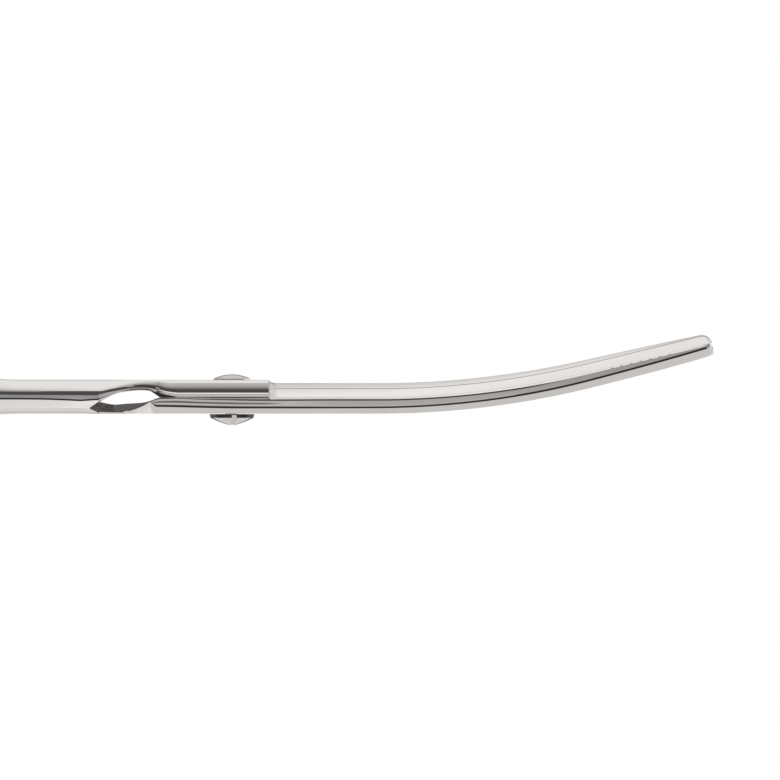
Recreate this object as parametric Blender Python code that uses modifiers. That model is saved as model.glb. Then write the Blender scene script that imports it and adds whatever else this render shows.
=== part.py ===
# Curved thinning scissors, closed: a plain blade over a toothed blade.
# Metres. +X runs to the tips and +Z is up. The pivot axis is Z through the origin,
# and z = 0 is the flat underside of the toothed member around the pivot.
# A member is drawn in (x, u, w): u points to the side of its own shank, and w is
# the distance from the plane in which the two members meet.

import math

import bmesh
import bpy
from mathutils import Matrix, Vector

MM = 0.001

# Overall lengths from the pivot axis
BLADE_LENGTH = 91.5 * MM
HANDLE_LENGTH = 86.5 * MM

# Thickness at the pivot, and the gap in which the members slide
COMB_THICKNESS = 2.98 * MM
PLAIN_THICKNESS = 3.2 * MM
MEMBER_GAP = 0.2 * MM

# The sideways curve of the blades, by distance from the pivot
BEND_START = 28.0 * MM
BEND_END = 68.0 * MM
TIP_RISE = math.radians(13.5)

# Pivot boss
BOSS_HALF_WIDTH = 7.3 * MM
BOSS_FRONT = 7.0 * MM
RICASSO_LENGTH = 1.7 * MM
PLAIN_HEEL_X = 15.0 * MM
COMB_HEEL_X = 18.5 * MM

# Shoulder, where a half-thickness member becomes a full-thickness shank
SHOULDER_X = 25.2 * MM
SHOULDER_NOTCH = 1.7 * MM
ARCH_X = 17.4 * MM
ARCH_HEIGHT = 1.3 * MM
ARCH_BACK_DROP = 2.3 * MM
ARCH_FRONT_X = 13.4 * MM
DIP_X = 22.2 * MM
DIP_DEPTH = 1.35 * MM
HEEL_WALL_Y = 0.6 * MM

# Shank, seen from the side: a narrow upright strip between two sloping faces
SHANK_WIDTH = 6.6 * MM
SHANK_INNER = 1.3 * MM
SHANK_WAIST_WIDTH = 5.8 * MM
SHANK_WAIST_X = 40.0 * MM
SHANK_WAIST_CENTRE = 7.0 * MM
SHANK_END_WIDTH = 4.8 * MM
SHANK_END_SWELL = 1.09
STRIP_TOP = 0.8 * MM
STRIP_BOTTOM = -0.48 * MM
CREASE_LEVEL = 1.92 * MM
SHANK_BEVEL = 1.6 * MM
EDGE_STRIP = 0.8 * MM
EDGE_STRIP_INSET = 0.4 * MM

# Plain blade
PLAIN_BASE_THICKNESS = 2.58 * MM
PLAIN_TIP_THICKNESS = 1.9 * MM
PLAIN_EDGE_BASE = 4.6 * MM
PLAIN_EDGE_TIP = 2.4 * MM
PLAIN_SPINE_BASE = 5.4 * MM
PLAIN_SPINE_TIP = 2.4 * MM
CROWN_BASE = 1.05 * MM
CROWN_TIP = 0.1 * MM
CROWN_WIDTH_BASE = 2.6 * MM
CROWN_WIDTH_TIP = 0.9 * MM
BEVEL_WIDTH_BASE = 2.2 * MM
BEVEL_WIDTH_TIP = 1.3 * MM
EDGE_LAND = 0.08 * MM

# Toothed blade
COMB_TIP_THICKNESS = 2.25 * MM
COMB_EDGE_BASE = 4.2 * MM
COMB_EDGE_TIP = 1.7 * MM
COMB_SPINE_BASE = 5.4 * MM
COMB_SPINE_TIP = 2.6 * MM
CHAMFER_BASE = 0.9 * MM
CHAMFER_TIP = 0.3 * MM
CHAMFER_DEPTH_BASE = 0.4 * MM
CHAMFER_DEPTH_TIP = 0.1 * MM
RIDGE_LEVEL_BASE = 1.78 * MM
RIDGE_LEVEL_TIP = 0.5 * MM
RIDGE_LAND = 0.16 * MM
LOWER_FACET_BASE = 2.0 * MM
LOWER_FACET_TIP = 1.3 * MM
TOOTH_TIP_THICKNESS = 0.9 * MM
TIP_ROUND = 2.8 * MM

# Teeth
TOOTH_PITCH = 1.82 * MM
SLOT_WIDTH = 0.75 * MM
SLOT_COUNT = 44
FIRST_SLOT_X = 10.3 * MM
SLOT_ROOT_BASE = 1.7 * MM
SLOT_ROOT_SLOPE = 0.8

# Finger rings
RING_INNER_LENGTH = 25.0 * MM
RING_INNER_WIDTH = 20.0 * MM
RING_BAR_WIDTH = 5.4 * MM
RING_BAR_HEIGHT = 6.6 * MM
RING_JOIN_ANGLE = math.radians(25.0)

# Pivot hardware
PIVOT_CLEARANCE = 0.1 * MM
BARREL_RADIUS = 2.2 * MM
NECK_SIDE = 4.5 * MM
NECK_LENGTH = 2.4 * MM
DOME_RADIUS = 3.5 * MM
DOME_HEIGHT = 0.95 * MM
SCREW_RADIUS = 1.3 * MM
THREAD_DEPTH = 3.4 * MM
HEAD_RADIUS = 4.25 * MM
HEAD_RIM = 0.75 * MM
HEAD_CONE = 1.4 * MM
HEAD_TOP_RADIUS = 0.7 * MM
DRIVER_SLOT_WIDTH = 0.9 * MM
DRIVER_SLOT_TURN = math.radians(5.0)
RIDE_WASHER_RADIUS = 5.4 * MM
RIDE_WASHER_THICKNESS = 0.5 * MM
SPRING_WASHER_RADIUS = 3.2 * MM
SPRING_WASHER_THICKNESS = 0.3 * MM
SPRING_WASHER_DISH = 0.25 * MM

# Bumper and finger rest
BUMPER_RADIUS = 2.4 * MM
BUMPER_REACH = 1.8 * MM
BUMPER_STEM_RADIUS = 1.2 * MM
BUMPER_STEM_LENGTH = 2.6 * MM
REST_LENGTH = 19.0 * MM
REST_RADIUS = 2.3 * MM
REST_TIP_RADIUS = 1.5 * MM
REST_STUD_RADIUS = 1.1 * MM
REST_STUD_LENGTH = 2.6 * MM
REST_ANGLE = math.radians(52.0)
REST_SWEEP = math.radians(55.0)
SEAT_GAP = 0.3 * MM

# Mesh fineness
ROUND_STEPS = 28
RING_POINTS = 40
MERGE = 0.00001

# Levels and places that follow
FACE = MEMBER_GAP / 2
MEETING_Z = COMB_THICKNESS + FACE
TOP_LEVEL = FACE + PLAIN_THICKNESS
BOTTOM_LEVEL = MEETING_Z
MID_Z = (MEETING_Z + TOP_LEVEL) / 2
BLADE_START = BOSS_FRONT + RICASSO_LENGTH
STEP_LENGTH = 0.4 * MM
RING_A = (RING_INNER_LENGTH + RING_BAR_WIDTH) / 2
RING_B = (RING_INNER_WIDTH + RING_BAR_WIDTH) / 2
RING_X = RING_A + RING_BAR_WIDTH / 2 - HANDLE_LENGTH
RING_U = RING_B + RING_BAR_WIDTH / 2 + (BUMPER_REACH + SEAT_GAP) / 2
JOIN_X = RING_X + RING_A * math.cos(RING_JOIN_ANGLE)
JOIN_U = RING_U - RING_B * math.sin(RING_JOIN_ANGLE)
FAR = 40.0 * MM


def ease(t):
    t = min(max(t, 0.0), 1.0)
    return t * t * (3.0 - 2.0 * t)


def mix(a, b, t):
    return a + (b - a) * t


def glide(x, knots):
    """Smooth curve through (x, value) knots that never overshoots them."""
    if x <= knots[0][0]:
        return knots[0][1]
    if x >= knots[-1][0]:
        return knots[-1][1]
    slopes = []
    for (xa, va), (xb, vb) in zip(knots, knots[1:]):
        slopes.append((vb - va) / (xb - xa))
    tangents = [slopes[0]]
    for before, after in zip(slopes, slopes[1:]):
        same_way = before * after > 0
        tangents.append(2 * before * after / (before + after) if same_way else 0.0)
    tangents.append(slopes[-1])
    for i in range(len(slopes)):
        xa, va = knots[i]
        xb, vb = knots[i + 1]
        if x <= xb:
            span = xb - xa
            t = (x - xa) / span
            start = (2 * t**3 - 3 * t**2 + 1) * va + (t**3 - 2 * t**2 + t) * span * tangents[i]
            end = (3 * t**2 - 2 * t**3) * vb + (t**3 - t**2) * span * tangents[i + 1]
            return start + end


def rise(x, y):
    """Height that the curve adds: the same all round the pivot, so the blades slide."""
    r = math.hypot(x, y)
    if x <= 0 or r <= BEND_START:
        return 0.0
    slope = math.tan(TIP_RISE)
    if r >= BEND_END:
        return slope * (r - (BEND_START + BEND_END) / 2)
    return slope * (r - BEND_START) ** 2 / (2 * (BEND_END - BEND_START))


def blade_share(x):
    return min(max((x - BLADE_START) / (BLADE_LENGTH - BLADE_START), 0.0), 1.0)


# Outline of a member in plan

def shank_side(x, base, tip):
    """Edge on the side of the member's own shank, which is also its cutting side."""
    knots = [
        (JOIN_X, JOIN_U + SHANK_END_WIDTH / 2),
        (-SHANK_WAIST_X, SHANK_WAIST_CENTRE + SHANK_WAIST_WIDTH / 2),
        (-SHOULDER_X, SHANK_INNER + SHANK_WIDTH),
        (0.0, BOSS_HALF_WIDTH),
        (BOSS_FRONT, BOSS_HALF_WIDTH * 0.95),
    ]
    if x <= BOSS_FRONT:
        return glide(x, knots)
    if x >= BLADE_START:
        return mix(base, tip, blade_share(x))
    return mix(BOSS_HALF_WIDTH * 0.95, base, fillet(x))


def spine_side(x, heel, base, tip):
    """The other edge, which carries the spine of the blade."""
    start = BLADE_START * 1.6
    knots = [
        (JOIN_X, JOIN_U - SHANK_END_WIDTH / 2),
        (-SHANK_WAIST_X, SHANK_WAIST_CENTRE - SHANK_WAIST_WIDTH / 2),
        (-SHOULDER_X - SHOULDER_NOTCH, SHANK_INNER),
        (mix(-SHOULDER_X, -heel, 0.4), -SHANK_INNER * 0.2),
        (-heel, -BOSS_HALF_WIDTH * 0.78),
        (-heel * 0.6, -BOSS_HALF_WIDTH * 0.97),
        (0.0, -BOSS_HALF_WIDTH),
        (start, -mix(base, tip, blade_share(start))),
    ]
    return -mix(base, tip, blade_share(x)) if x > start else glide(x, knots)


def fillet(x):
    """The concave step in front of the boss: steep at first, then running out."""
    t = min(max((x - BOSS_FRONT) / RICASSO_LENGTH, 0.0), 1.0)
    return math.sqrt(1.0 - (1.0 - t) ** 2)


# Levels of the inner face, as w

def plain_inner(x):
    """Arched relief behind the boss, then the flat face; the arch drops at its back."""
    if x < -ARCH_X:
        share = (x + ARCH_X) / (ARCH_X - SHOULDER_X)
        return FACE + ARCH_HEIGHT - ARCH_BACK_DROP * share**3
    share = (x + ARCH_X) / (ARCH_X - ARCH_FRONT_X)
    return FACE + ARCH_HEIGHT * max(0.0, 1.0 - share**3)


def comb_inner(x):
    """Dip behind the flat face."""
    return glide(x, [
        (-SHOULDER_X, FACE + DIP_DEPTH * 0.6),
        (-DIP_X, FACE + DIP_DEPTH),
        (mix(-DIP_X, -ARCH_FRONT_X, 0.68), FACE + DIP_DEPTH / 2),
        (-ARCH_FRONT_X, FACE),
    ])


# Cross-sections: twelve (inset, w) pairs from the inner face on the shank side,
# over the crown, to the inner face on the spine side. Insets start at each edge.

def shank_half(outer, inner, width):
    """One side of the shank, from its inner broad side to its outer one."""
    bevel = SHANK_BEVEL * width / SHANK_WIDTH
    half = [
        (bevel, -BOTTOM_LEVEL),
        (bevel * 0.25, -CREASE_LEVEL),
        (0.0, STRIP_BOTTOM),
        (bevel * 0.03, STRIP_TOP),
        (bevel, mix(STRIP_TOP, TOP_LEVEL, 0.9)),
        (bevel * 1.55, TOP_LEVEL),
    ]
    if outer == TOP_LEVEL:
        return half
    return [(inset, -level) for inset, level in half[::-1]]


def shank_profile(x, outer, inner, width):
    half = shank_half(outer, inner, width)
    swell = mix(1.0, SHANK_END_SWELL, ease((-x - SHANK_WAIST_X) / (SHANK_WAIST_X / 4)))
    middle = (outer + inner) / 2
    half = [(inset, middle + (w - middle) * swell) for inset, w in half]
    return half + half[::-1]


def slab_half(outer, inner, lean):
    """Half-thickness edge: inner face, a strip that leans under, then a full cheek.
    Lean, from 0 to 1, turns the cheek into the shank's wider bevel."""
    high = max(inner + EDGE_STRIP, STRIP_TOP)
    return [
        (EDGE_STRIP_INSET * 3, inner),
        (EDGE_STRIP_INSET * 1.5, inner),
        (EDGE_STRIP_INSET * 0.6, mix(inner, high, 0.3)),
        (0.0, high),
        (mix(EDGE_STRIP_INSET, SHANK_BEVEL, lean), mix(high, outer, mix(0.78, 0.9, lean))),
        (mix(EDGE_STRIP_INSET * 3.5, SHANK_BEVEL * 1.55, lean), outer),
    ]


def wall_half(outer, inner):
    """Upright wall of the toothed member where its shank leaves the boss."""
    return [
        (EDGE_STRIP_INSET * 0.5, inner),
        (0.0, mix(inner, outer, 0.15)),
        (0.0, mix(inner, outer, 0.4)),
        (0.0, mix(inner, outer, 0.6)),
        (EDGE_STRIP_INSET, mix(inner, outer, 0.9)),
        (EDGE_STRIP_INSET * 3, outer),
    ]


def comb_spine_half(t, outer, inner):
    """Chamfer, upright strip, narrow ridge and lower facet of the comb's spine."""
    late = t**4
    chamfer = mix(CHAMFER_BASE, CHAMFER_TIP, t)
    ridge = inner + mix(RIDGE_LEVEL_BASE, RIDGE_LEVEL_TIP, late) - FACE
    high = inner + mix(CHAMFER_DEPTH_BASE, CHAMFER_DEPTH_TIP, late)
    return [
        (chamfer, inner),
        (chamfer * 0.12, high),
        (chamfer * 0.04, mix(high, ridge, 0.5)),
        (0.0, ridge),
        (0.0, ridge + RIDGE_LAND),
        (mix(LOWER_FACET_BASE, LOWER_FACET_TIP, t), outer),
    ]


def plain_blade_profile(t, inner):
    late = t**4
    outer = FACE + mix(PLAIN_BASE_THICKNESS, PLAIN_TIP_THICKNESS, late)
    width = mix(BEVEL_WIDTH_BASE, BEVEL_WIDTH_TIP, t)
    ridge = outer - mix(CROWN_BASE, CROWN_TIP, late)
    cutting = [
        (0.0, inner),
        (0.0, inner + EDGE_LAND),
        (width * 0.36, mix(inner, ridge, 0.42)),
        (width * 0.7, mix(inner, ridge, 0.76)),
        (width, ridge),
        (width + mix(CROWN_WIDTH_BASE, CROWN_WIDTH_TIP, t), mix(ridge, outer, 0.85)),
    ]
    crown = mix(CROWN_WIDTH_BASE, CROWN_WIDTH_TIP, t)
    spine = [
        (crown * 0.65, outer),
        (crown * 0.25, mix(ridge, outer, 0.7)),
        (EDGE_LAND, mix(inner, ridge, 0.9)),
        (0.0, mix(inner, outer, 0.45)),
        (EDGE_LAND, mix(inner, outer, 0.2)),
        (EDGE_LAND * 4, inner),
    ]
    return cutting + spine


def comb_blade_profile(t, inner):
    outer = FACE + mix(COMB_THICKNESS, COMB_TIP_THICKNESS, t**8)
    tip = inner + TOOTH_TIP_THICKNESS
    width = mix(COMB_EDGE_BASE, COMB_EDGE_TIP, t)
    teeth = [
        (0.0, inner),
        (0.0, inner + TOOTH_TIP_THICKNESS * 0.4),
        (width * 0.01, inner + TOOTH_TIP_THICKNESS * 0.7),
        (width * 0.05, tip),
        (width * 0.38, mix(tip, outer, 0.35)),
        (width, mix(tip, outer, 0.85)),
    ]
    return teeth + comb_spine_half(t, outer, inner)[::-1]


def blended(a, b, t):
    return [(mix(p[0], q[0], t), mix(p[1], q[1], t)) for p, q in zip(a, b)]


def shank_lean(x):
    return ease((-x - ARCH_FRONT_X) / (SHOULDER_X - ARCH_FRONT_X))


def plain_section(x, full_depth):
    edge = shank_side(x, PLAIN_EDGE_BASE, PLAIN_EDGE_TIP)
    spine = spine_side(x, PLAIN_HEEL_X, PLAIN_SPINE_BASE, PLAIN_SPINE_TIP)
    if full_depth:
        return edge, spine, shank_profile(x, TOP_LEVEL, -BOTTOM_LEVEL, edge - spine)
    inner = plain_inner(x)
    half = slab_half(TOP_LEVEL, inner, shank_lean(x))
    profile = half + half[::-1]
    if x > BOSS_FRONT:
        profile = blended(profile, plain_blade_profile(blade_share(x), inner), fillet(x))
    return edge, spine, profile


def comb_section(x, full_depth):
    edge = shank_side(x, COMB_EDGE_BASE, COMB_EDGE_TIP)
    spine = spine_side(x, COMB_HEEL_X, COMB_SPINE_BASE, COMB_SPINE_TIP)
    if full_depth:
        return edge, spine, shank_profile(x, BOTTOM_LEVEL, -TOP_LEVEL, edge - spine)
    inner = comb_inner(x)
    near = comb_spine_half(0.0, BOTTOM_LEVEL, inner)
    wall = wall_half(BOTTOM_LEVEL, inner)
    near = blended(wall, near, ease((x + SHOULDER_X) / (SHOULDER_X - COMB_HEEL_X)))
    profile = slab_half(BOTTOM_LEVEL, inner, shank_lean(x)) + near[::-1]
    if x > 0:
        profile = blended(profile, comb_blade_profile(blade_share(x), inner), ease(x / BLADE_START))
    return edge, spine, profile


def section_ring(x, section, full_depth):
    """Points of one cross-section as (x, u, w), drawn in at the rounded tip."""
    edge, spine, profile = section(x, full_depth)
    centre = (edge + spine) / 2
    over = max(0.0, (x - (BLADE_LENGTH - TIP_ROUND)) / TIP_ROUND)
    drawn = math.sqrt(1.0 - 0.78 * over**2)
    low = 1.0 - 0.85 * over**1.5 if section is plain_section else 1.0 - 0.1 * over**4
    notched = full_depth and x == -SHOULDER_X and section is plain_section
    points = []
    for i, (inset, w) in enumerate(profile):
        u = edge - inset if i < 6 else spine + inset
        u = centre + (u - centre) * drawn
        back = SHOULDER_NOTCH if notched and i in (1, 10) else 0.0
        points.append((x - back, u, FACE + (w - FACE) * low if w > FACE else w))
    return points


def spread(start, end, count):
    return [mix(start, end, i / count) for i in range(count)]


def half_stations():
    """Places along X where the half-thickness part's sections are drawn."""
    places = spread(-SHOULDER_X + STEP_LENGTH / 4, -ARCH_FRONT_X, 14)
    places += spread(-ARCH_FRONT_X, BOSS_FRONT, 8)
    for i in range(6):
        places.append(mix(BOSS_FRONT, BLADE_START, 1 - math.cos(math.pi / 2 * i / 6)))
    steps = round((BLADE_LENGTH - TIP_ROUND - BLADE_START) / (2 * TOOTH_PITCH))
    places += spread(BLADE_START, BLADE_LENGTH - TIP_ROUND, steps)
    tip_steps = 5
    for i in range(tip_steps + 1):
        places.append(BLADE_LENGTH - TIP_ROUND * (1 - math.sin(math.pi / 2 * i / tip_steps)))
    return places


def member_rings(section):
    """Full-depth shank sections, the shoulder, then the half-thickness ones."""
    shank = spread(JOIN_X, -SHOULDER_X - 2 * SHOULDER_NOTCH, 9)
    shank.append(-SHOULDER_X - 2 * SHOULDER_NOTCH)
    rings = [section_ring(x, section, True) for x in shank]
    rings.append(section_ring(-SHOULDER_X, section, True))
    return rings + [section_ring(x, section, False) for x in half_stations()]


# Objects

def collection(name):
    made = bpy.data.collections.new(name)
    bpy.context.scene.collection.children.link(made)
    return made


def material(name, colour, metallic, roughness):
    made = bpy.data.materials.new(name)
    made.use_nodes = True
    shader = made.node_tree.nodes["Principled BSDF"]
    shader.inputs["Base Color"].default_value = (*colour, 1.0)
    shader.inputs["Metallic"].default_value = metallic
    shader.inputs["Roughness"].default_value = roughness
    made.diffuse_color = (*colour, 1.0)
    return made


def put(name, mesh, home):
    made = bpy.data.objects.new(name, mesh)
    home.objects.link(made)
    return made


def put_cutter(name, mesh):
    made = put(name, mesh, CUTTERS)
    made.hide_render = True
    made.display_type = "WIRE"
    return made


def finished(bm, name):
    """Turn a bmesh into a mesh with its faces pointing out."""
    bmesh.ops.recalc_face_normals(bm, faces=bm.faces)
    mesh = bpy.data.meshes.new(name)
    bm.to_mesh(mesh)
    bm.free()
    return mesh


def loft(name, rings):
    bm = bmesh.new()
    rows = [[bm.verts.new(point) for point in ring] for ring in rings]
    count = len(rings[0])
    for low, high in zip(rows, rows[1:]):
        for i in range(count):
            j = (i + 1) % count
            bm.faces.new((low[i], low[j], high[j], high[i]))
    bm.faces.new(rows[0])
    bm.faces.new(rows[-1])
    bmesh.ops.triangulate(bm, faces=bm.faces)
    return finished(bm, name)


def prism(name, outlines):
    """Join one straight block for each pair of matching end outlines."""
    bm = bmesh.new()
    for start, end in outlines:
        first = [bm.verts.new(point) for point in start]
        last = [bm.verts.new(point) for point in end]
        bm.faces.new(first)
        bm.faces.new(last[::-1])
        for i in range(len(first)):
            j = (i + 1) % len(first)
            bm.faces.new((first[j], first[i], last[i], last[j]))
    return finished(bm, name)


def turned(name, profile, home, closed=False):
    """Turn (radius, z) points about Z; the outer side runs from top to bottom."""
    mesh = bpy.data.meshes.new(name)
    points = [(r, 0.0, z) for r, z in profile]
    edges = [(i, i + 1) for i in range(len(points) - 1)]
    if closed:
        edges.append((len(points) - 1, 0))
    mesh.from_pydata(points, edges, [])
    made = put(name, mesh, home)
    screw = made.modifiers.new("turn", "SCREW")
    screw.steps = ROUND_STEPS
    screw.render_steps = ROUND_STEPS
    screw.use_merge_vertices = True
    screw.merge_threshold = MERGE
    bake(made)
    return made


def bake(made):
    """Replace the object's mesh with its evaluated one."""
    bpy.context.view_layer.update()
    evaluated = made.evaluated_get(bpy.context.evaluated_depsgraph_get())
    mesh = bpy.data.meshes.new_from_object(evaluated)
    made.modifiers.clear()
    made.data = mesh


def combine(made, other, operation):
    """Cut with, or join to, another object, which is then kept as a hidden guide."""
    boolean = made.modifiers.new(operation.lower(), "BOOLEAN")
    boolean.operation = operation
    boolean.solver = "EXACT"
    boolean.object = other
    bake(made)


def tube(name, points, radii, depth, resolution, cyclic, flatten=1.0):
    """Swept round bar as a closed mesh; flatten stretches it along Z about MID_Z."""
    curve = bpy.data.curves.new(name, "CURVE")
    curve.dimensions = "3D"
    curve.bevel_depth = depth
    curve.bevel_resolution = resolution
    curve.use_fill_caps = not cyclic
    spline = curve.splines.new("POLY")
    spline.points.add(len(points) - 1)
    for point, place, radius in zip(spline.points, points, radii):
        point.co = (*place, 1.0)
        point.radius = radius
    spline.use_cyclic_u = cyclic
    guide = put(name, curve, CUTTERS)
    bpy.context.view_layer.update()
    evaluated = guide.evaluated_get(bpy.context.evaluated_depsgraph_get())
    mesh = bpy.data.meshes.new_from_object(evaluated)
    bpy.data.objects.remove(guide)
    bm = bmesh.new()
    bm.from_mesh(mesh)
    bmesh.ops.remove_doubles(bm, verts=bm.verts, dist=MERGE)
    for vert in bm.verts:
        vert.co.z = MID_Z + (vert.co.z - MID_Z) * flatten
    return finished(bm, name)


# Members

def world(point, side, face):
    """From a member's (x, u, w) to the scissors' own axes, before the blades curve."""
    x, u, w = point
    return Vector((x, side * u, MEETING_Z + face * w))


def ring_point(angle, side, outward=0.0):
    """Point on a ring's centre line, or a distance outside it, from the front round."""
    x = RING_X + (RING_A + outward) * math.cos(angle)
    u = RING_U - (RING_B + outward) * math.sin(angle)
    return Vector((x, side * u, MID_Z))


def finger_ring(name, side):
    points = [ring_point(2 * math.pi * i / RING_POINTS, side) for i in range(RING_POINTS)]
    depth = RING_BAR_WIDTH / 2
    return tube(name, points, [1.0] * RING_POINTS, depth, 4, True, RING_BAR_HEIGHT / RING_BAR_WIDTH)


def cut_heel(member):
    """Slant the near end of the toothed member's boss back down to its underside."""
    over = FACE - STEP_LENGTH
    slant = [
        (mix(-ARCH_FRONT_X, -COMB_HEEL_X, 0.04) + STEP_LENGTH, over),
        (mix(-ARCH_FRONT_X, -COMB_HEEL_X, 0.04), FACE),
        (mix(-ARCH_FRONT_X, -COMB_HEEL_X, 0.41), BOTTOM_LEVEL * 0.29),
        (mix(-ARCH_FRONT_X, -COMB_HEEL_X, 0.67), BOTTOM_LEVEL * 0.54),
        (mix(-ARCH_FRONT_X, -COMB_HEEL_X, 0.9), BOTTOM_LEVEL * 0.7),
        (-COMB_HEEL_X - STEP_LENGTH * 2, BOTTOM_LEVEL * 0.84),
        (-DIP_X, BOTTOM_LEVEL * 0.88),
        (-SHOULDER_X, BOTTOM_LEVEL * 0.96),
        (-SHOULDER_X - SHOULDER_NOTCH, BOTTOM_LEVEL * 1.02),
        (-SHOULDER_X - SHOULDER_NOTCH, over),
    ]
    start = [(x, -FAR, MEETING_Z - w) for x, w in slant]
    end = [(x, -HEEL_WALL_Y, MEETING_Z - w) for x, w in slant]
    combine(member, put_cutter("heel_slant", prism("heel_slant", [(start, end)])), "DIFFERENCE")


def slot_blocks(side, face):
    """One slanted block for each slot between two teeth."""
    blocks = []
    for i in range(SLOT_COUNT):
        x = FIRST_SLOT_X + i * TOOTH_PITCH
        edge, spine, profile = comb_section(x, False)
        inset = glide(x, [
            (FIRST_SLOT_X, SLOT_ROOT_BASE),
            (BLADE_LENGTH * 0.79, CHAMFER_TIP * 0.5),
            (BLADE_LENGTH * 0.9, 0.0),
            (BLADE_LENGTH * 0.93, CHAMFER_TIP * 2),
        ])
        low = -1.0 * MM
        high = BOTTOM_LEVEL + 1.0 * MM
        reach = edge + 2.0 * MM
        outline = [
            (spine + inset + SLOT_ROOT_SLOPE * (low - FACE), low),
            (spine + inset + SLOT_ROOT_SLOPE * (high - FACE), high),
            (reach, high),
            (reach, low),
        ]
        start = [world((x - SLOT_WIDTH / 2, u, w), side, face) for u, w in outline]
        end = [world((x + SLOT_WIDTH / 2, u, w), side, face) for u, w in outline]
        blocks.append((start, end))
    return blocks


def curve_blade(member):
    """Lift every point by the rise at its distance from the pivot."""
    bm = bmesh.new()
    bm.from_mesh(member.data)
    bmesh.ops.triangulate(bm, faces=bm.faces)
    for vert in bm.verts:
        vert.co.z += rise(vert.co.x, vert.co.y)
    bm.to_mesh(member.data)
    bm.free()


def cylinder(name, radius, low, high, axis=Vector((0, 0, 1)), base=Vector((0, 0, 0))):
    """Round cutter from low to high along an axis through base."""
    bm = bmesh.new()
    bmesh.ops.create_cone(
        bm,
        cap_ends=True,
        segments=ROUND_STEPS,
        radius1=radius,
        radius2=radius,
        depth=high - low,
    )
    turn = Vector((0, 0, 1)).rotation_difference(axis).to_matrix().to_4x4()
    shift = Matrix.Translation(base + axis.normalized() * (low + high) / 2)
    bmesh.ops.transform(bm, matrix=shift @ turn, verts=bm.verts)
    return put_cutter(name, finished(bm, name))


def member_body(name, side, face, section):
    rings = []
    for ring in member_rings(section):
        rings.append([world(point, side, face) for point in ring])
    return put(name, loft(name, rings), PARTS)


def build_plain_blade():
    side = -1
    member = member_body("plain_blade", side, 1, plain_section)
    hole = BARREL_RADIUS + PIVOT_CLEARANCE
    combine(member, cylinder("plain_hole", hole, MEETING_Z - MM, FAR), "DIFFERENCE")
    half = NECK_SIDE / 2 + PIVOT_CLEARANCE
    low = MEETING_Z + TOP_LEVEL - NECK_LENGTH - PIVOT_CLEARANCE
    corners = [(-half, -half), (half, -half), (half, half), (-half, half)]
    start = [(x, y, low) for x, y in corners]
    end = [(x, y, low + FAR) for x, y in corners]
    combine(member, put_cutter("neck_hole", prism("neck_hole", [(start, end)])), "DIFFERENCE")
    curve_blade(member)
    ring = put_cutter("plain_ring", finger_ring("plain_ring", side))
    combine(member, ring, "UNION")
    stem = BUMPER_STEM_RADIUS + PIVOT_CLEARANCE
    depth = BUMPER_STEM_LENGTH + PIVOT_CLEARANCE
    bore = cylinder("stem_bore", stem, -depth, depth, Vector((0, 1, 0)), bumper_seat())
    combine(member, bore, "DIFFERENCE")
    return member


def build_comb_blade():
    side = 1
    member = member_body("comb_blade", side, -1, comb_section)
    cut_heel(member)
    hole = BARREL_RADIUS + PIVOT_CLEARANCE
    combine(member, cylinder("comb_hole", hole, -FAR, MEETING_Z), "DIFFERENCE")
    pocket = cylinder("ride_pocket", RIDE_WASHER_RADIUS + PIVOT_CLEARANCE, ride_floor(), FAR)
    combine(member, pocket, "DIFFERENCE")
    wide = SPRING_WASHER_RADIUS + PIVOT_CLEARANCE
    counterbore = cylinder("spring_pocket", wide, -FAR, spring_ceiling())
    combine(member, counterbore, "DIFFERENCE")
    combine(member, put_cutter("slots", prism("slots", slot_blocks(side, -1))), "DIFFERENCE")
    curve_blade(member)
    ring = put_cutter("comb_ring", finger_ring("comb_ring", side))
    combine(member, ring, "UNION")
    way = rest_direction()
    depth = REST_STUD_LENGTH + PIVOT_CLEARANCE
    hole = cylinder("stud_bore", REST_STUD_RADIUS + PIVOT_CLEARANCE, -depth, depth, way, rest_seat())
    combine(member, hole, "DIFFERENCE")
    return member


# Pivot hardware

def ride_floor():
    """Bottom of the pocket in which the ride washer lies."""
    return MEETING_Z + FACE - 2 * PIVOT_CLEARANCE - RIDE_WASHER_THICKNESS


def spring_ceiling():
    """Top of the counterbore in which the spring washer lies."""
    return SPRING_WASHER_THICKNESS + SPRING_WASHER_DISH + PIVOT_CLEARANCE


def barrel_end():
    return spring_ceiling() + 2 * PIVOT_CLEARANCE


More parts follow.
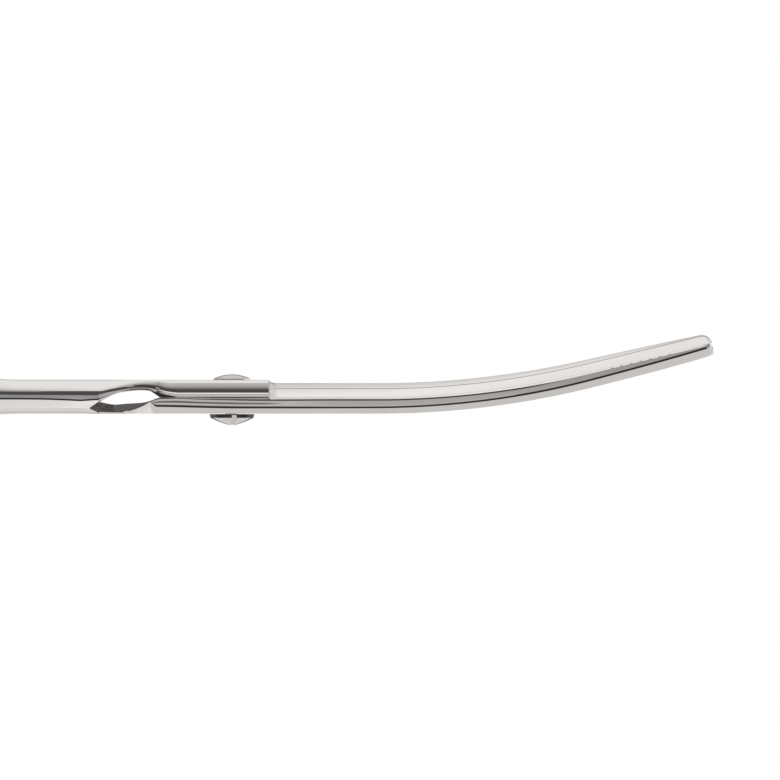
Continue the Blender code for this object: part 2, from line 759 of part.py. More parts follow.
def build_dome_nut():
    top = MEETING_Z + TOP_LEVEL + PIVOT_CLEARANCE
    bore = SCREW_RADIUS + PIVOT_CLEARANCE
    bore_top = barrel_end() + THREAD_DEPTH + PIVOT_CLEARANCE
    dome_steps = 5
    sphere = (DOME_RADIUS**2 + DOME_HEIGHT**2) / (2 * DOME_HEIGHT)
    sweep = math.asin(DOME_RADIUS / sphere)
    profile = []
    for i in range(dome_steps + 1):
        angle = sweep * i / dome_steps
        profile.append((sphere * math.sin(angle), top + DOME_HEIGHT - sphere * (1 - math.cos(angle))))
    profile.append((BARREL_RADIUS, top))
    profile.append((BARREL_RADIUS, barrel_end()))
    profile.append((bore, barrel_end()))
    profile.append((bore, bore_top))
    profile.append((0.0, bore_top + bore / 2))
    nut = turned("dome_nut", profile, PARTS)
    half = NECK_SIDE / 2
    low = top - PIVOT_CLEARANCE - NECK_LENGTH
    corners = [(-half, -half), (half, -half), (half, half), (-half, half)]
    start = [(x, y, low) for x, y in corners]
    end = [(x, y, top + DOME_HEIGHT / 4) for x, y in corners]
    neck = put_cutter("neck", prism("neck", [(start, end)]))
    core = cylinder("neck_core", (bore + BARREL_RADIUS) / 2, low - MM, top + DOME_HEIGHT)
    combine(neck, core, "DIFFERENCE")
    keep = cylinder("neck_round", DOME_RADIUS - PIVOT_CLEARANCE, low - MM, top + DOME_HEIGHT)
    combine(neck, keep, "INTERSECT")
    combine(nut, neck, "UNION")
    return nut


def build_pivot_screw():
    seat = -PIVOT_CLEARANCE
    rim_low = seat - HEAD_RIM
    tip = rim_low - HEAD_CONE
    chamfer = 0.3 * MM
    end = barrel_end() + THREAD_DEPTH
    profile = [
        (0.0, end),
        (SCREW_RADIUS - chamfer, end),
        (SCREW_RADIUS, end - chamfer),
        (SCREW_RADIUS, seat),
        (HEAD_RADIUS - chamfer / 2, seat),
        (HEAD_RADIUS, seat - chamfer / 2),
        (HEAD_RADIUS, rim_low + chamfer / 2),
        (HEAD_RADIUS - chamfer / 2, rim_low),
        (HEAD_TOP_RADIUS, tip + chamfer / 2),
        (HEAD_TOP_RADIUS / 2, tip + chamfer / 6),
        (0.0, tip),
    ]
    screw = turned("pivot_screw", profile, PARTS)
    half = DRIVER_SLOT_WIDTH / 2
    floor = slot_floor()
    outline = [(-half, floor), (half, floor), (half, tip - MM), (-half, tip - MM)]
    start = [(x, -FAR, z) for x, z in outline]
    stop = [(x, FAR, z) for x, z in outline]
    mesh = prism("driver_slot", [(start, stop)])
    mesh.transform(Matrix.Rotation(DRIVER_SLOT_TURN, 4, "Z"))
    combine(screw, put_cutter("driver_slot", mesh), "DIFFERENCE")
    return screw


def slot_floor():
    """The slot crosses the whole head and stops just inside the screw's shank."""
    return -PIVOT_CLEARANCE - HEAD_RIM / 4


def build_ride_washer():
    low = ride_floor() + PIVOT_CLEARANCE
    high = low + RIDE_WASHER_THICKNESS
    inner = BARREL_RADIUS + 2 * PIVOT_CLEARANCE
    profile = [
        (inner, high),
        (RIDE_WASHER_RADIUS, high),
        (RIDE_WASHER_RADIUS, low),
        (inner, low),
    ]
    return turned("ride_washer", profile, PARTS, closed=True)


def build_spring_washer():
    inner = SCREW_RADIUS + 3 * PIVOT_CLEARANCE
    high = SPRING_WASHER_THICKNESS + SPRING_WASHER_DISH
    profile = [
        (inner, high),
        (SPRING_WASHER_RADIUS, SPRING_WASHER_THICKNESS),
        (SPRING_WASHER_RADIUS, 0.0),
        (inner, SPRING_WASHER_DISH),
    ]
    return turned("spring_washer", profile, PARTS, closed=True)


# Handle fittings

def bumper_seat():
    """Point on the inner face of the plain member's ring, facing the other ring."""
    return ring_point(math.pi / 2, -1, RING_BAR_WIDTH / 2)


def build_bumper():
    seat = SEAT_GAP / 3
    reach = BUMPER_REACH
    round_off = 0.4 * MM
    profile = [
        (0.0, reach),
        (BUMPER_RADIUS - round_off, reach),
        (BUMPER_RADIUS, reach - round_off),
        (BUMPER_RADIUS, bumper_sole()),
        (BUMPER_STEM_RADIUS, bumper_sole()),
        (BUMPER_STEM_RADIUS, seat - BUMPER_STEM_LENGTH),
        (0.0, seat - BUMPER_STEM_LENGTH),
    ]
    bumper = turned("bumper", profile, PARTS)
    place = Matrix.Translation(bumper_seat()) @ Matrix.Rotation(-math.pi / 2, 4, "X")
    bumper.data.transform(place)
    return bumper


def bumper_sole():
    """The cap's flat back clears the highest point of the round ring bar."""
    return SEAT_GAP


def rest_direction():
    """Outward normal of the toothed member's ring where the finger rest screws in."""
    angle = math.pi + REST_ANGLE
    return Vector((math.cos(angle) / RING_A, -math.sin(angle) / RING_B, 0.0)).normalized()


def rest_seat():
    centre = ring_point(math.pi + REST_ANGLE, 1)
    return centre + rest_direction() * RING_BAR_WIDTH / 2


def build_finger_rest():
    """Screwed stud, shoulder and a horn that sweeps round towards the back."""
    way = rest_direction()
    across = Vector((way.y, -way.x, 0.0))
    seat = rest_seat()
    stud = REST_STUD_RADIUS / REST_RADIUS
    flare = 0.1 * MM
    foot = SEAT_GAP / 2
    points = [seat - way * REST_STUD_LENGTH, seat + way * foot]
    radii = [stud, stud]
    steps = 10
    bend = REST_LENGTH / REST_SWEEP
    for i in range(steps + 1):
        share = i / steps
        angle = REST_SWEEP * share
        along = bend * math.sin(angle)
        aside = bend * (1 - math.cos(angle))
        points.append(seat + way * (foot + flare + along) - across * aside)
        radii.append(mix(1.0, REST_TIP_RADIUS / REST_RADIUS, share))
    end_steps = 3
    last = points[-1]
    onward = way * math.cos(REST_SWEEP) - across * math.sin(REST_SWEEP)
    for i in range(1, end_steps + 1):
        angle = math.pi / 2 * i / end_steps * 0.9
        points.append(last + onward * REST_TIP_RADIUS * math.sin(angle))
        radii.append(REST_TIP_RADIUS / REST_RADIUS * math.cos(angle))
    return put("finger_rest", tube("finger_rest", points, radii, REST_RADIUS, 3, False), PARTS)


for old in list(bpy.data.objects):
    bpy.data.objects.remove(old, do_unlink=True)

PARTS = collection("thinning_scissors")
CUTTERS = collection("cutters")

STEEL = (0.78, 0.78, 0.79)
FINISHES = (
    (build_plain_blade, "polished_steel_plain", STEEL, 1.0, 0.12),
    (build_comb_blade, "polished_steel_comb", STEEL, 1.0, 0.12),
    (build_dome_nut, "nut_steel", STEEL, 1.0, 0.18),
    (build_pivot_screw, "screw_steel", (0.7, 0.7, 0.71), 1.0, 0.22),
    (build_ride_washer, "white_washer", (0.85, 0.85, 0.83), 0.0, 0.4),
    (build_spring_washer, "spring_steel", (0.5, 0.5, 0.52), 1.0, 0.3),
    (build_bumper, "bumper_rubber", (0.03, 0.03, 0.035), 0.0, 0.7),
    (build_finger_rest, "rest_steel", STEEL, 1.0, 0.15),
)
for build, finish, colour, metallic, roughness in FINISHES:
    piece = build()
    piece.data.materials.clear()
    piece.data.materials.append(material(finish, colour, metallic, roughness))
    piece.data.shade_smooth()
    piece.data.set_sharp_from_angle(angle=math.radians(30.0))
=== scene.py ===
import math

import bmesh
import bpy
import numpy as np
from mathutils import Matrix, Vector


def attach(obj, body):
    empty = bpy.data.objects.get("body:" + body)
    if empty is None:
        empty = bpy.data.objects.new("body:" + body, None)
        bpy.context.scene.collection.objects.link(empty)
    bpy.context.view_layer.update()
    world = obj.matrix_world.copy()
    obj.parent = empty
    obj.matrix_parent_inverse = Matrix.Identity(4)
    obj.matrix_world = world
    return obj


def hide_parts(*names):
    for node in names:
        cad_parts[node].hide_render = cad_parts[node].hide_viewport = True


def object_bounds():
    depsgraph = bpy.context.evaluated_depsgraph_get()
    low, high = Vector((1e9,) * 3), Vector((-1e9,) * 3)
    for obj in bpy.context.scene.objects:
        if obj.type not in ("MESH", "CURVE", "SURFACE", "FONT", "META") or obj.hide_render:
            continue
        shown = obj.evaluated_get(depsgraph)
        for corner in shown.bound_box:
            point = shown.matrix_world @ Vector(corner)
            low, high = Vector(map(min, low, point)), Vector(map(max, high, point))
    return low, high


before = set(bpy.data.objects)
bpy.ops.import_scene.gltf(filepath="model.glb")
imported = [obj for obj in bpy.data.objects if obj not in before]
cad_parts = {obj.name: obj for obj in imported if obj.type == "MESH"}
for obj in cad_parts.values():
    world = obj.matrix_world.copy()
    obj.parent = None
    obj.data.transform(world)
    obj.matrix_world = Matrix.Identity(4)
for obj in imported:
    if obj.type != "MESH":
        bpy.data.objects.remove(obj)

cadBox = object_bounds()
mm = 0.001

overall = {  # in mm, like every size below
    "bladeLength": 91.5,  # pivot to tips
    "handleLength": 86.5,  # pivot to the back of the rings
    "meetingZ": 3.08,  # height of the plane the members share at the pivot
    "topZ": 6.38,
    "rideGap": 0.01,  # half the gap between the two members
    "bendStart": 28.0,
    "bendEnd": 68.0,
    "tipRise": 13.5,  # degrees
}

shank = {  # both members from the rings to the front of the boss
    "shoulderX": -25.2,
    "combShoulderBack": 0.7,  # how much further back the toothed member's shoulder is
    "notch": 1.7,
    "bossWidth": 7.3,
    "bossFront": 7.0,
    "frontTaper": 0.95,
    "ricasso": 1.7,
    "inner": 1.3,
    "width": 6.6,
    "waistX": -40.0,
    "waistWidth": 5.8,
    "waistMiddle": 7.0,
    "endWidth": 4.8,
    "endSwell": 1.09,
    "swellRun": -10,  # a fade with a negative run goes towards the rings
    "sink": 0.8,  # the end thins to this where it enters the ring
    "sinkStart": 3.4,
    "sinkRun": -3,
    "plainHeel": 15.0,
    "combHeel": 18.5,
    "heelTaper": (0.78, 0.97),  # share of the boss's width at the heel, and ahead of it
}

ring = {
    "innerLength": 25.0,
    "innerWidth": 20.0,
    "bar": 5.4,
    "barHeight": 6.6,
    "joinAngle": 25.0,  # where the shank runs into the ring, in degrees
    "apart": 2.1,  # between the two rings when closed
    "steps": 144,
    "barSteps": 48,
}

# In a section, u goes across the scissors, and w away from the plane that the members share.

rideGap = overall["rideGap"]
meetingZ = overall["meetingZ"]
topW = overall["topZ"] - meetingZ
bladeStart = shank["bossFront"] + shank["ricasso"]
ringA = (ring["innerLength"] + ring["bar"]) / 2
ringB = (ring["innerWidth"] + ring["bar"]) / 2
ringX = ringA + ring["bar"] / 2 - overall["handleLength"]
ringU = ringB + ring["bar"] / 2 + ring["apart"] / 2
ringZ = overall["topZ"] / 2
joinX = ringX + ringA * math.cos(math.radians(ring["joinAngle"]))
joinU = ringU - ringB * math.sin(math.radians(ring["joinAngle"]))


def ease(t):
    t = min(max(t, 0.0), 1.0)
    return t * t * (3 - 2 * t)


def fade(x, start, run):  # from 0 at the start to 1 at the end of the run
    return ease((x - start) / run)


def mix(a, b, t):
    return a + (b - a) * t


def along(pair, t):
    return mix(pair[0], pair[1], t)


def glide(x, knots):  # smooth curve through the knots that never overshoots them
    if x <= knots[0][0]:
        return knots[0][1]
    if x >= knots[-1][0]:
        return knots[-1][1]
    slopes = [(b[1] - a[1]) / (b[0] - a[0]) for a, b in zip(knots, knots[1:])]
    tangents = [slopes[0]]
    for a, b in zip(slopes, slopes[1:]):
        tangents.append(2 * a * b / (a + b) if a * b > 0 else 0.0)
    tangents.append(slopes[-1])
    for i, (a, b) in enumerate(zip(knots, knots[1:])):
        if x <= b[0]:
            span = b[0] - a[0]
            t = (x - a[0]) / span
            start = (2 * t**3 - 3 * t**2 + 1) * a[1] + (t**3 - 2 * t**2 + t) * span * tangents[i]
            return start + (3 * t**2 - 2 * t**3) * b[1] + (t**3 - t**2) * span * tangents[i + 1]


def spread(start, end, count):
    return [mix(start, end, i / count) for i in range(count)]


def rise(x, y):  # the blades' curve, alike all round the pivot so that they slide
    r = math.hypot(x, y)
    start, end = overall["bendStart"], overall["bendEnd"]
    if x <= 0 or r <= start:
        return 0.0
    slope = math.tan(math.radians(overall["tipRise"]))
    if r >= end:
        return slope * (r - (start + end) / 2)
    return slope * (r - start) ** 2 / (2 * (end - start))


def bladeShare(x):
    return min(max((x - bladeStart) / (overall["bladeLength"] - bladeStart), 0.0), 1.0)


def fillet(x):  # concave step in front of the boss
    t = min(max((x - shank["bossFront"]) / shank["ricasso"], 0.0), 1.0)
    return math.sqrt(1 - (1 - t) ** 2)


def edgeSide(x, width):
    front = shank["bossWidth"] * shank["frontTaper"]
    if x >= bladeStart:
        return along(width, bladeShare(x))
    if x > shank["bossFront"]:
        return mix(front, width[0], fillet(x))
    return glide(x, [
        (joinX, joinU + shank["endWidth"] / 2),
        (shank["waistX"], shank["waistMiddle"] + shank["waistWidth"] / 2),
        (shank["shoulderX"], shank["inner"] + shank["width"]),
        (0.0, shank["bossWidth"]),
        (shank["bossFront"], front),
    ])


def spineSide(x, heel, width):
    start = bladeStart * 1.6
    if x > start:
        return -along(width, bladeShare(x))
    atHeel, ahead = shank["heelTaper"]
    return glide(x, [
        (joinX, joinU - shank["endWidth"] / 2),
        (shank["waistX"], shank["waistMiddle"] - shank["waistWidth"] / 2),
        (shank["shoulderX"] - shank["notch"], shank["inner"]),
        (mix(shank["shoulderX"], -heel, 0.4), -shank["inner"] * 0.2),
        (-heel, -shank["bossWidth"] * atHeel),
        (-heel * 0.6, -shank["bossWidth"] * ahead),
        (0.0, -shank["bossWidth"]),
        (start, -along(width, bladeShare(start))),
    ])


# A half section is 17 (inset, w) points, from the inner face out over one side.

flank = {
    "strip": [(-44.0, -0.1), (-36.5, -0.15), (-31.0, -0.32), (-28.0, -0.45), (-26.8, -0.43),
              (-26.0, -0.33), (-25.2, -0.22)],
    "stripTop": [(-44.0, 0.66), (-36.0, 0.63), (-31.0, 0.6), (-26.5, 0.57)],
    "combEnd": -28.0,  # ahead of here the toothed member's flank stays the same
    "foot": [(2.3, -meetingZ), (1.5, -2.66), (0.84, -2.04), (0.7, -1.82)],
    "upper": [(0.12, 1.17), (0.26, 1.46), (0.44, 1.78), (0.69, 2.16), (1.05, 2.68), (1.32, 3.04),
              (1.6, 3.22), (2.3, topW)],
    "bossCheek": [(0.035, 0.11), (0.1, 0.27), (0.2, 0.404), (0.36, 0.583), (0.534, 0.753),
                  (0.7, 0.85), (0.9, 0.94), (1.2, 1.0)],
    "handleCheek": [(0.12, 0.112), (0.26, 0.232), (0.44, 0.367), (0.69, 0.527), (1.05, 0.745),
                    (1.32, 0.895), (1.6, 0.967), (2.3, 1.0)],
    "cheekHeight": 2.3,
    "darkSlope": 0.14,  # of the dark line at the flank's lower edge
    "darkMost": 0.7,
}

arch = {  # the window behind the boss, its lines as (x, w) points
    "frontX": -13.7,
    "top": [(-25.2, -0.92), (-24.2, -0.36), (-23.2, 0.17), (-22.2, 0.6), (-21.1, 0.93),
            (-19.4, 1.17), (-17.2, 1.33), (-16.1, 1.27), (-15.2, 1.02), (-14.3, 0.42), (-13.7, 0.01)],
    "brow": [(-25.2, 0.9), (-24.3, 1.02), (-23.2, 1.28), (-22.0, 1.51), (-20.5, 1.78),
             (-19.0, 2.03), (-17.5, 2.13), (-16.5, 2.12), (-15.2, 1.95), (-13.7, 1.71), (-12.9, 1.66)],
    "floor": [(-25.2, 0.87), (-22.2, 1.38), (-20.0, 1.21), (-18.2, 1.11), (-16.5, 0.93),
              (-15.4, 0.62), (-14.4, 0.24), (-13.7, 0.01)],
    "underLine": [(-25.2, 0.26), (-24.0, 0.1), (-21.5, 0.06), (-20.0, 0.12), (-18.6, 0.22),
                  (-14.6, 0.22), (-13.7, 0.75)],
    "land": (0.44, 0.12),  # height of the lip under the dark line, behind and ahead
    "landFade": (-25.2, 1.8),  # where a fade starts, and its run
    "soleFade": (-25.1, 0.8),
    "sole": [  # (inset, height) points, each ahead and in the notch, where it starts deep inside
        ((0.8, 3.1), (0.0, 0.0)), ((0.5, 2.7), (0.0, 0.0)),
        ((0.3, 2.3), (0.0, 0.05)), ((0.17, 0.2), (0.05, 0.1)),
    ],
    "upperLine": 0.3,
}

boss = {
    "fade": (-15.1, 2.6),
    "line": (0.75, 0.07),  # height of the dark line, behind and ahead
    "lineRun": 3.4,
    "flare": 0.46,
    "middle": 0.48,
    "plainLip": [(-14.4, 1.6), (-13.7, 1.42), (-12.2, 1.1), (-10.3, 0.86)],
    "combLip": [(-13.7, 1.3), (-10.3, 0.85)],
    "leastLip": 0.85,
}


def shankHalf(x, width):
    s = width / shank["width"]
    strip = glide(x, flank["strip"])
    top = glide(x, flank["stripTop"])
    low = flank["foot"] + [(0.005, strip - 0.32), (-0.045, strip), (-0.02, 0.3), (0.0, top)]
    high = [(0.044, top + 0.28)] + flank["upper"]
    return np.array(low + [(inset * mix(s, 1, 0.5), w) for inset, w in high])


def cheek(high, outer, lean):  # from the strip up to the broad outer face
    points = mix(np.array(flank["bossCheek"]), np.array(flank["handleCheek"]), lean)
    points[:, 0] *= min(1.0, (outer - high) / flank["cheekHeight"])
    points[:, 1] = high + (outer - high) * points[:, 1]
    return points


def archHalf(x, inner, outer, lean):
    high = glide(x, arch["brow"])
    low = inner + along(arch["land"], fade(x, *arch["landFade"]))
    dark = min(glide(x, arch["underLine"]), (high - low) * flank["darkMost"])
    upper = high - arch["upperLine"]
    inward = 1 - fade(x, *arch["soleFade"])
    first = [(along(inset, inward), inner + along(h, inward)) for inset, h in arch["sole"]]
    first += [
        (0.01 + flank["darkSlope"] * dark, low), (0.0, low + dark),
        (0.0, mix(low + dark, upper, 0.5)), (0.0, upper), (0.047, high),
    ]
    return np.vstack([first, cheek(high, outer, lean)])


def bossHalf(x, inner, outer, lean, high):
    share = min(1.0, max(0.0, (x - arch["frontX"]) / boss["lineRun"]))
    dark = min(along(boss["line"], share), (high - inner) * flank["darkMost"])
    low = inner + dark
    foot = flank["darkSlope"] * dark
    flare = (high - low) * boss["flare"]
    middle = flare * boss["middle"]
    first = np.array([
        (1.0, inner), (0.7, inner), (0.4, inner), (foot + 0.1, inner), (foot, inner + 0.005),
        (0.0, low), (middle, mix(low, high, 0.52)), (middle + 0.01, mix(low, high, 0.6)), (flare, high),
    ])
    upper = cheek(high, outer, lean)
    upper[:, 0] += flare
    return np.vstack([first, upper])


plainBlade = {  # each pair is at the base and at the tip
    "edge": (4.6, 2.4),
    "spine": (5.4, 2.4),
    "thick": (2.68, 1.9),
    "bevel": (2.2, 1.3),
    "crownDrop": (1.0, 0.12),
    "crown": (2.7, 0.85),
    "land": 0.04,
    "landHeight": 0.12,
    "hollow": [(0.24, 0.27), (0.49, 0.53), (0.745, 0.775), (1.0, 1.0)],
    "crownRound": [(0.2, 0.27), (0.4, 0.52), (0.6, 0.73), (0.78, 0.88), (0.9, 0.96), (1.0, 1.0)],
    "spineScale": (1.0, 0.42),
    "spineRound": [
        (0.3, 0.0), (0.2, 0.0), (0.1, 0.02), (0.03, 0.05), (0.0, 0.12), (0.0, 0.22), (0.0, 0.34),
        (0.02, 0.45), (0.06, 0.54), (0.15, 0.63), (0.3, 0.73), (0.55, 0.82), (0.8, 0.88),
        (1.1, 0.93), (1.35, 0.965), (1.6, 0.985), (1.9, 1.0),
    ],
}


def bevelHalf(t):  # the plain blade's cutting side
    late = t**4
    outer = rideGap + along(plainBlade["thick"], late)
    ridge = outer - along(plainBlade["crownDrop"], late)
    wide = along(plainBlade["bevel"], t)
    crown = along(plainBlade["crown"], t)
    land, top = wide + plainBlade["land"], ridge - plainBlade["landHeight"]
    low = rideGap + 0.01
    points = [(inset, rideGap) for inset in (0.4, 0.3, 0.2, 0.1, 0.0)] + [(0.0, low)]
    points += [(wide * s, mix(low, top, h)) for s, h in plainBlade["hollow"]]
    points += [(land, ridge)]
    points += [(land + crown * s, mix(ridge, outer, h)) for s, h in plainBlade["crownRound"]]
    return np.array(points)


def plainSpineHalf(t):
    outer = rideGap + along(plainBlade["thick"], t**4)
    s = along(plainBlade["spineScale"], t)
    return np.array([(inset * s, mix(rideGap, outer, h)) for inset, h in plainBlade["spineRound"]])


teeth = {
    "pitch": 1.82,
    "slot": 0.75,
    "count": 44,
    "firstX": 10.3,
    "slant": 38.7,  # degrees that the slot's end leans
    "runout": (71.6, 83.6),
    "runoutDepth": 0.5,
    "reach": 14.0,
    # (share of the row, half the metal left behind a gap): the two ends, then the points between
    "stop": [(0.0, 0.85), (1.0, 0.55), (0.4, 0.7), (0.7, 0.5), (0.9, 0.45)],
}

combBlade = {  # each pair is at the base and at the tip
    "edge": (4.2, 1.7),
    "spine": (5.4, 2.6),
    "thick": (3.08, 2.35),
    "chamfer": (0.74, 0.17),
    "bossChamfer": 0.07,
    "chamferDepth": 0.34,
    "depthShare": [(-13.0, 0.06), (-10.0, 0.2), (-8.0, 0.5), (-5.0, 0.88), (0.5, 0.98), (5.7, 1.14),
                   (10.0, 1.12), (18.0, 1.0)],
    "lineX": -15.7,
    "lineRun": 1.3,
    "stripHeight": [(-13.0, 0.3), (-10.0, 0.2), (-6.0, 0.2), (2.0, 0.3)],
    "stripThin": 0.73,
    "ridge": (1.72, 0.5),
    "ridgeLift": (-0.05, 0.13),  # everywhere, and as much more at the base
    "ridgeBack": 0.82,
    "ridgeFade": (-16, 18),
    "levels": (0.0, 0.18, 0.36, 0.53, 0.75),  # from the strip to the ridge
    "tilt": (0.04, 0.005),
    "tiltFade": (8, 14),
    "fineLine": 0.1,
    "fineFade": (6, 8),
    "lip": (0.05, 0.012),
    "tipTilt": 0.045,
    "tipFade": (50, 16),
    "land": (0.32, 0.42),
    "landSlope": 0.158,
    "facet": (2.0, 2.3),
    "toothTip": 0.9,
    "toothFace": [(0.3, 0.0), (0.2, 0.0), (0.1, 0.0), (0.0, 0.04), (0.0, 0.3), (0.0, 0.55),
                  (0.02, 0.75), (0.08, 0.9), (0.2, 1.0)],
    "toothBack": [(0.5, 0.05), (0.9, 0.13), (1.3, 0.22), (1.9, 0.4), (2.4, 0.56), (2.9, 0.71),
                  (3.5, 0.87), (4.2, 1.0)],
    "toothScale": (1.0, 0.4),
    "wall": [
        (0.6, 0.0), (0.4, 0.0), (0.18, 0.0), (0.16, 0.02), (0.15, 0.1), (0.138, 0.2), (0.128, 0.28),
        (0.119, 0.36), (0.109, 0.44), (0.099, 0.52), (0.087, 0.62), (0.048, 0.73), (0.0, 0.84),
        (0.0, 0.86), (0.05, 0.9), (0.4, 0.97), (1.0, 1.0),
    ],
    "wallFade": (-21, 3),  # where the wall turns into the ridged side
}


def toothBump(x):  # near the tip the cutter's runout breaks the chamfer, once for each gap
    start, end = teeth["runout"]
    if not start < x < end:
        return 0.0
    step = (x - teeth["firstX"]) / teeth["pitch"]
    return max(0.0, math.cos(2 * math.pi * (step - round(step)))) ** 2


def combSpineHalf(x, inner, outer):  # chamfer, upright strip with a fine line, ridge and lower facet
    t = bladeShare(x)
    late = t**4
    step = fillet(x)
    begun = min(1.0, max(0.02, (x - combBlade["lineX"]) / combBlade["lineRun"]))
    chamfer = mix(combBlade["bossChamfer"], along(combBlade["chamfer"], t), step)
    depth = combBlade["chamferDepth"] * glide(x, combBlade["depthShare"])
    high = inner + depth * (1 - teeth["runoutDepth"] * toothBump(x))
    strip = high + glide(x, combBlade["stripHeight"]) * mix(1, combBlade["stripThin"], late) * begun
    always, atBase = combBlade["ridgeLift"]
    grown = mix(combBlade["ridgeBack"], 1, fade(x, *combBlade["ridgeFade"]))
    ridge = rideGap + along(combBlade["ridge"], late) * grown
    ridge = mix(strip, ridge + always + atBase * (1 - ease(t * 2.2)), begun)
    toTip = fade(x, *combBlade["tipFade"])
    tilt = along(combBlade["tilt"], fade(x, *combBlade["tiltFade"])) - combBlade["tipTilt"] * toTip
    lip = along(combBlade["lip"], toTip)
    fine = mix(combBlade["fineLine"], 0.0, fade(x, *combBlade["fineFade"]))
    levels = [mix(strip, ridge, s) for s in combBlade["levels"]]
    levels += [ridge, ridge + along(combBlade["land"], t) * begun]
    slopes = [tilt, tilt, tilt + fine, tilt, tilt, combBlade["landSlope"]]
    points = [
        (chamfer + 0.4, inner), (chamfer + 0.2, inner), (chamfer, inner),
        (mix(lip, chamfer, 0.5 * step), mix(inner, high, mix(0.4, 0.5, step))),
        (lip, high), (0.0, strip),
    ]
    for a, b, slope in zip(levels, levels[1:], slopes):
        points.append((points[-1][0] + (b - a) * slope, b))
    deep, low = points[-1]
    facet = along(combBlade["facet"], t)
    points += [(mix(deep, facet, s), mix(low, outer, s)) for s in (0.2, 0.4, 0.6, 0.8, 1.0)]
    return np.array(points)


def combTeethHalf(t):
    outer = rideGap + along(combBlade["thick"], t**8)
    tip = combBlade["toothTip"]
    s = along(combBlade["toothScale"], t)
    points = [(inset, rideGap + tip * h) for inset, h in combBlade["toothFace"]]
    points += [(inset * s, mix(rideGap + tip, outer, h)) for inset, h in combBlade["toothBack"]]
    return np.array(points)


def wallHalf(inner, outer):  # the toothed member's upright wall behind the boss
    return np.array([(inset, mix(inner, outer, h)) for inset, h in combBlade["wall"]])


def shankLean(x):
    return ease((arch["frontX"] - x) / (arch["frontX"] - shank["shoulderX"]))


def fullSection(x, width, comb):
    half = shankHalf(min(x, flank["combEnd"]) if comb else x, width)
    swell = mix(1.0, shank["endSwell"], fade(x, shank["waistX"], shank["swellRun"]))
    swell *= mix(1, shank["sink"], fade(x, joinX + shank["sinkStart"], shank["sinkRun"]))
    middle = topW - overall["topZ"] / 2
    half[:, 1] = middle + (half[:, 1] - middle) * swell
    if comb:
        half = half[::-1].copy()
        half[:, 1] = -half[:, 1]
    return half


def plainSection(x, full):
    edge = edgeSide(x, plainBlade["edge"])
    spine = spineSide(x, shank["plainHeel"], plainBlade["spine"])
    if full:
        half = fullSection(x, edge - spine, False)
        return edge, spine, half, half
    inner = glide(x, arch["top"])
    lean = shankLean(x)
    high = max(glide(x, boss["plainLip"]), inner + boss["leastLip"])
    onBoss = fade(x, *boss["fade"])
    half = mix(archHalf(x, inner, topW, lean), bossHalf(x, inner, topW, lean, high), onBoss)
    far = half
    if x > shank["bossFront"]:
        t = bladeShare(x)
        far = mix(half, plainSpineHalf(t), fillet(x))
        half = mix(half, bevelHalf(t), fillet(x))
    return edge, spine, half, far


def combSection(x, full):
    edge = edgeSide(x, combBlade["edge"])
    spine = spineSide(x, shank["combHeel"], combBlade["spine"])
    if full:
        half = fullSection(x, edge - spine, True)
        return edge, spine, half, half
    inner = glide(x, arch["floor"])
    t = bladeShare(x)
    outer = rideGap + along(combBlade["thick"], t**8) if x > 0 else meetingZ
    outer = min(outer, meetingZ)
    ridged = fade(x, *combBlade["wallFade"])
    far = mix(wallHalf(inner, outer), combSpineHalf(x, inner, outer), ridged)
    half = bossHalf(x, inner, outer, shankLean(x), inner + glide(x, boss["combLip"]))
    if x > 0:
        half = mix(half, combTeethHalf(t), ease(x / bladeStart))
    return edge, spine, half, far


bladeTip = {
    "round": 2.8,
    "narrow": 0.78,
    "plainThin": (0.93, 2.2),  # how much, and how late
    "combThin": (0.06, 4),
    "plainBack": 0.3,
    "combBack": 0.55,
    "combHeight": 2.3,
}

heelNotch = {  # (back, down) of each point round the plain shank's V
    1: (0.0, 0.3),
    2: (shank["notch"], 0.16),
    3: (shank["notch"], 0.13),
}


def sectionRing(x, section, full, side, face):
    edge, spine, half, far = section(x, full)
    plain = section is plainSection
    length = overall["bladeLength"]
    over = max(0.0, (x - (length - bladeTip["round"])) / bladeTip["round"])
    drawn = math.sqrt(1 - bladeTip["narrow"] * over**2)
    thin, late = bladeTip["plainThin"] if plain else bladeTip["combThin"]
    low = 1 - thin * over**late
    end = bladeTip["plainBack"]
    across = [(edge - inset, w) for inset, w in half]
    other = [(spine + inset, w) for inset, w in far]
    (topU, topHeight), (otherU, otherHeight) = across[-1], other[-1]
    top = [(mix(topU, otherU, s), mix(topHeight, otherHeight, s)) for s in (0.25, 0.5, 0.75)]
    (firstU, firstW), (lastU, lastW) = other[0], across[0]
    sole = [(mix(firstU, lastU, s / 8), mix(firstW, lastW, s / 8)) for s in range(1, 8)]
    notch = heelNotch if plain and full and abs(x - shank["shoulderX"]) < 1e-6 else {}
    count = len(across)
    ringPoints = []
    for i, (u, w) in enumerate(across + top + other[::-1] + sole):
        u = (edge + spine) / 2 + (u - (edge + spine) / 2) * drawn
        if w > rideGap:
            w = rideGap + (w - rideGap) * low
        if not plain:
            end = bladeTip["combBack"] * (1 - min(w / bladeTip["combHeight"], 1.0)) ** 2
        back, down = notch.get(min(i, 2 * count + 2 - i), (0.0, 0.0))  # alike on both sides
        point = (x - back - end * over**3, side * u, meetingZ + face * (w - down))
        ringPoints.append(tuple(value * mm for value in point))
    return ringPoints


ringStops = {"window": -15.0, "heel": -11.0, "blade": 71.0, "runout": 84.0}  # where a stretch ends
ringCounts = {
    "shank": 44,
    "window": 44,
    "heel": 24,
    "boss": 24,
    "ricasso": 16,
    "blade": 96,
    "plainRunout": 20,
    "combRunout": 78,
    "end": 8,
    "tip": 14,
}


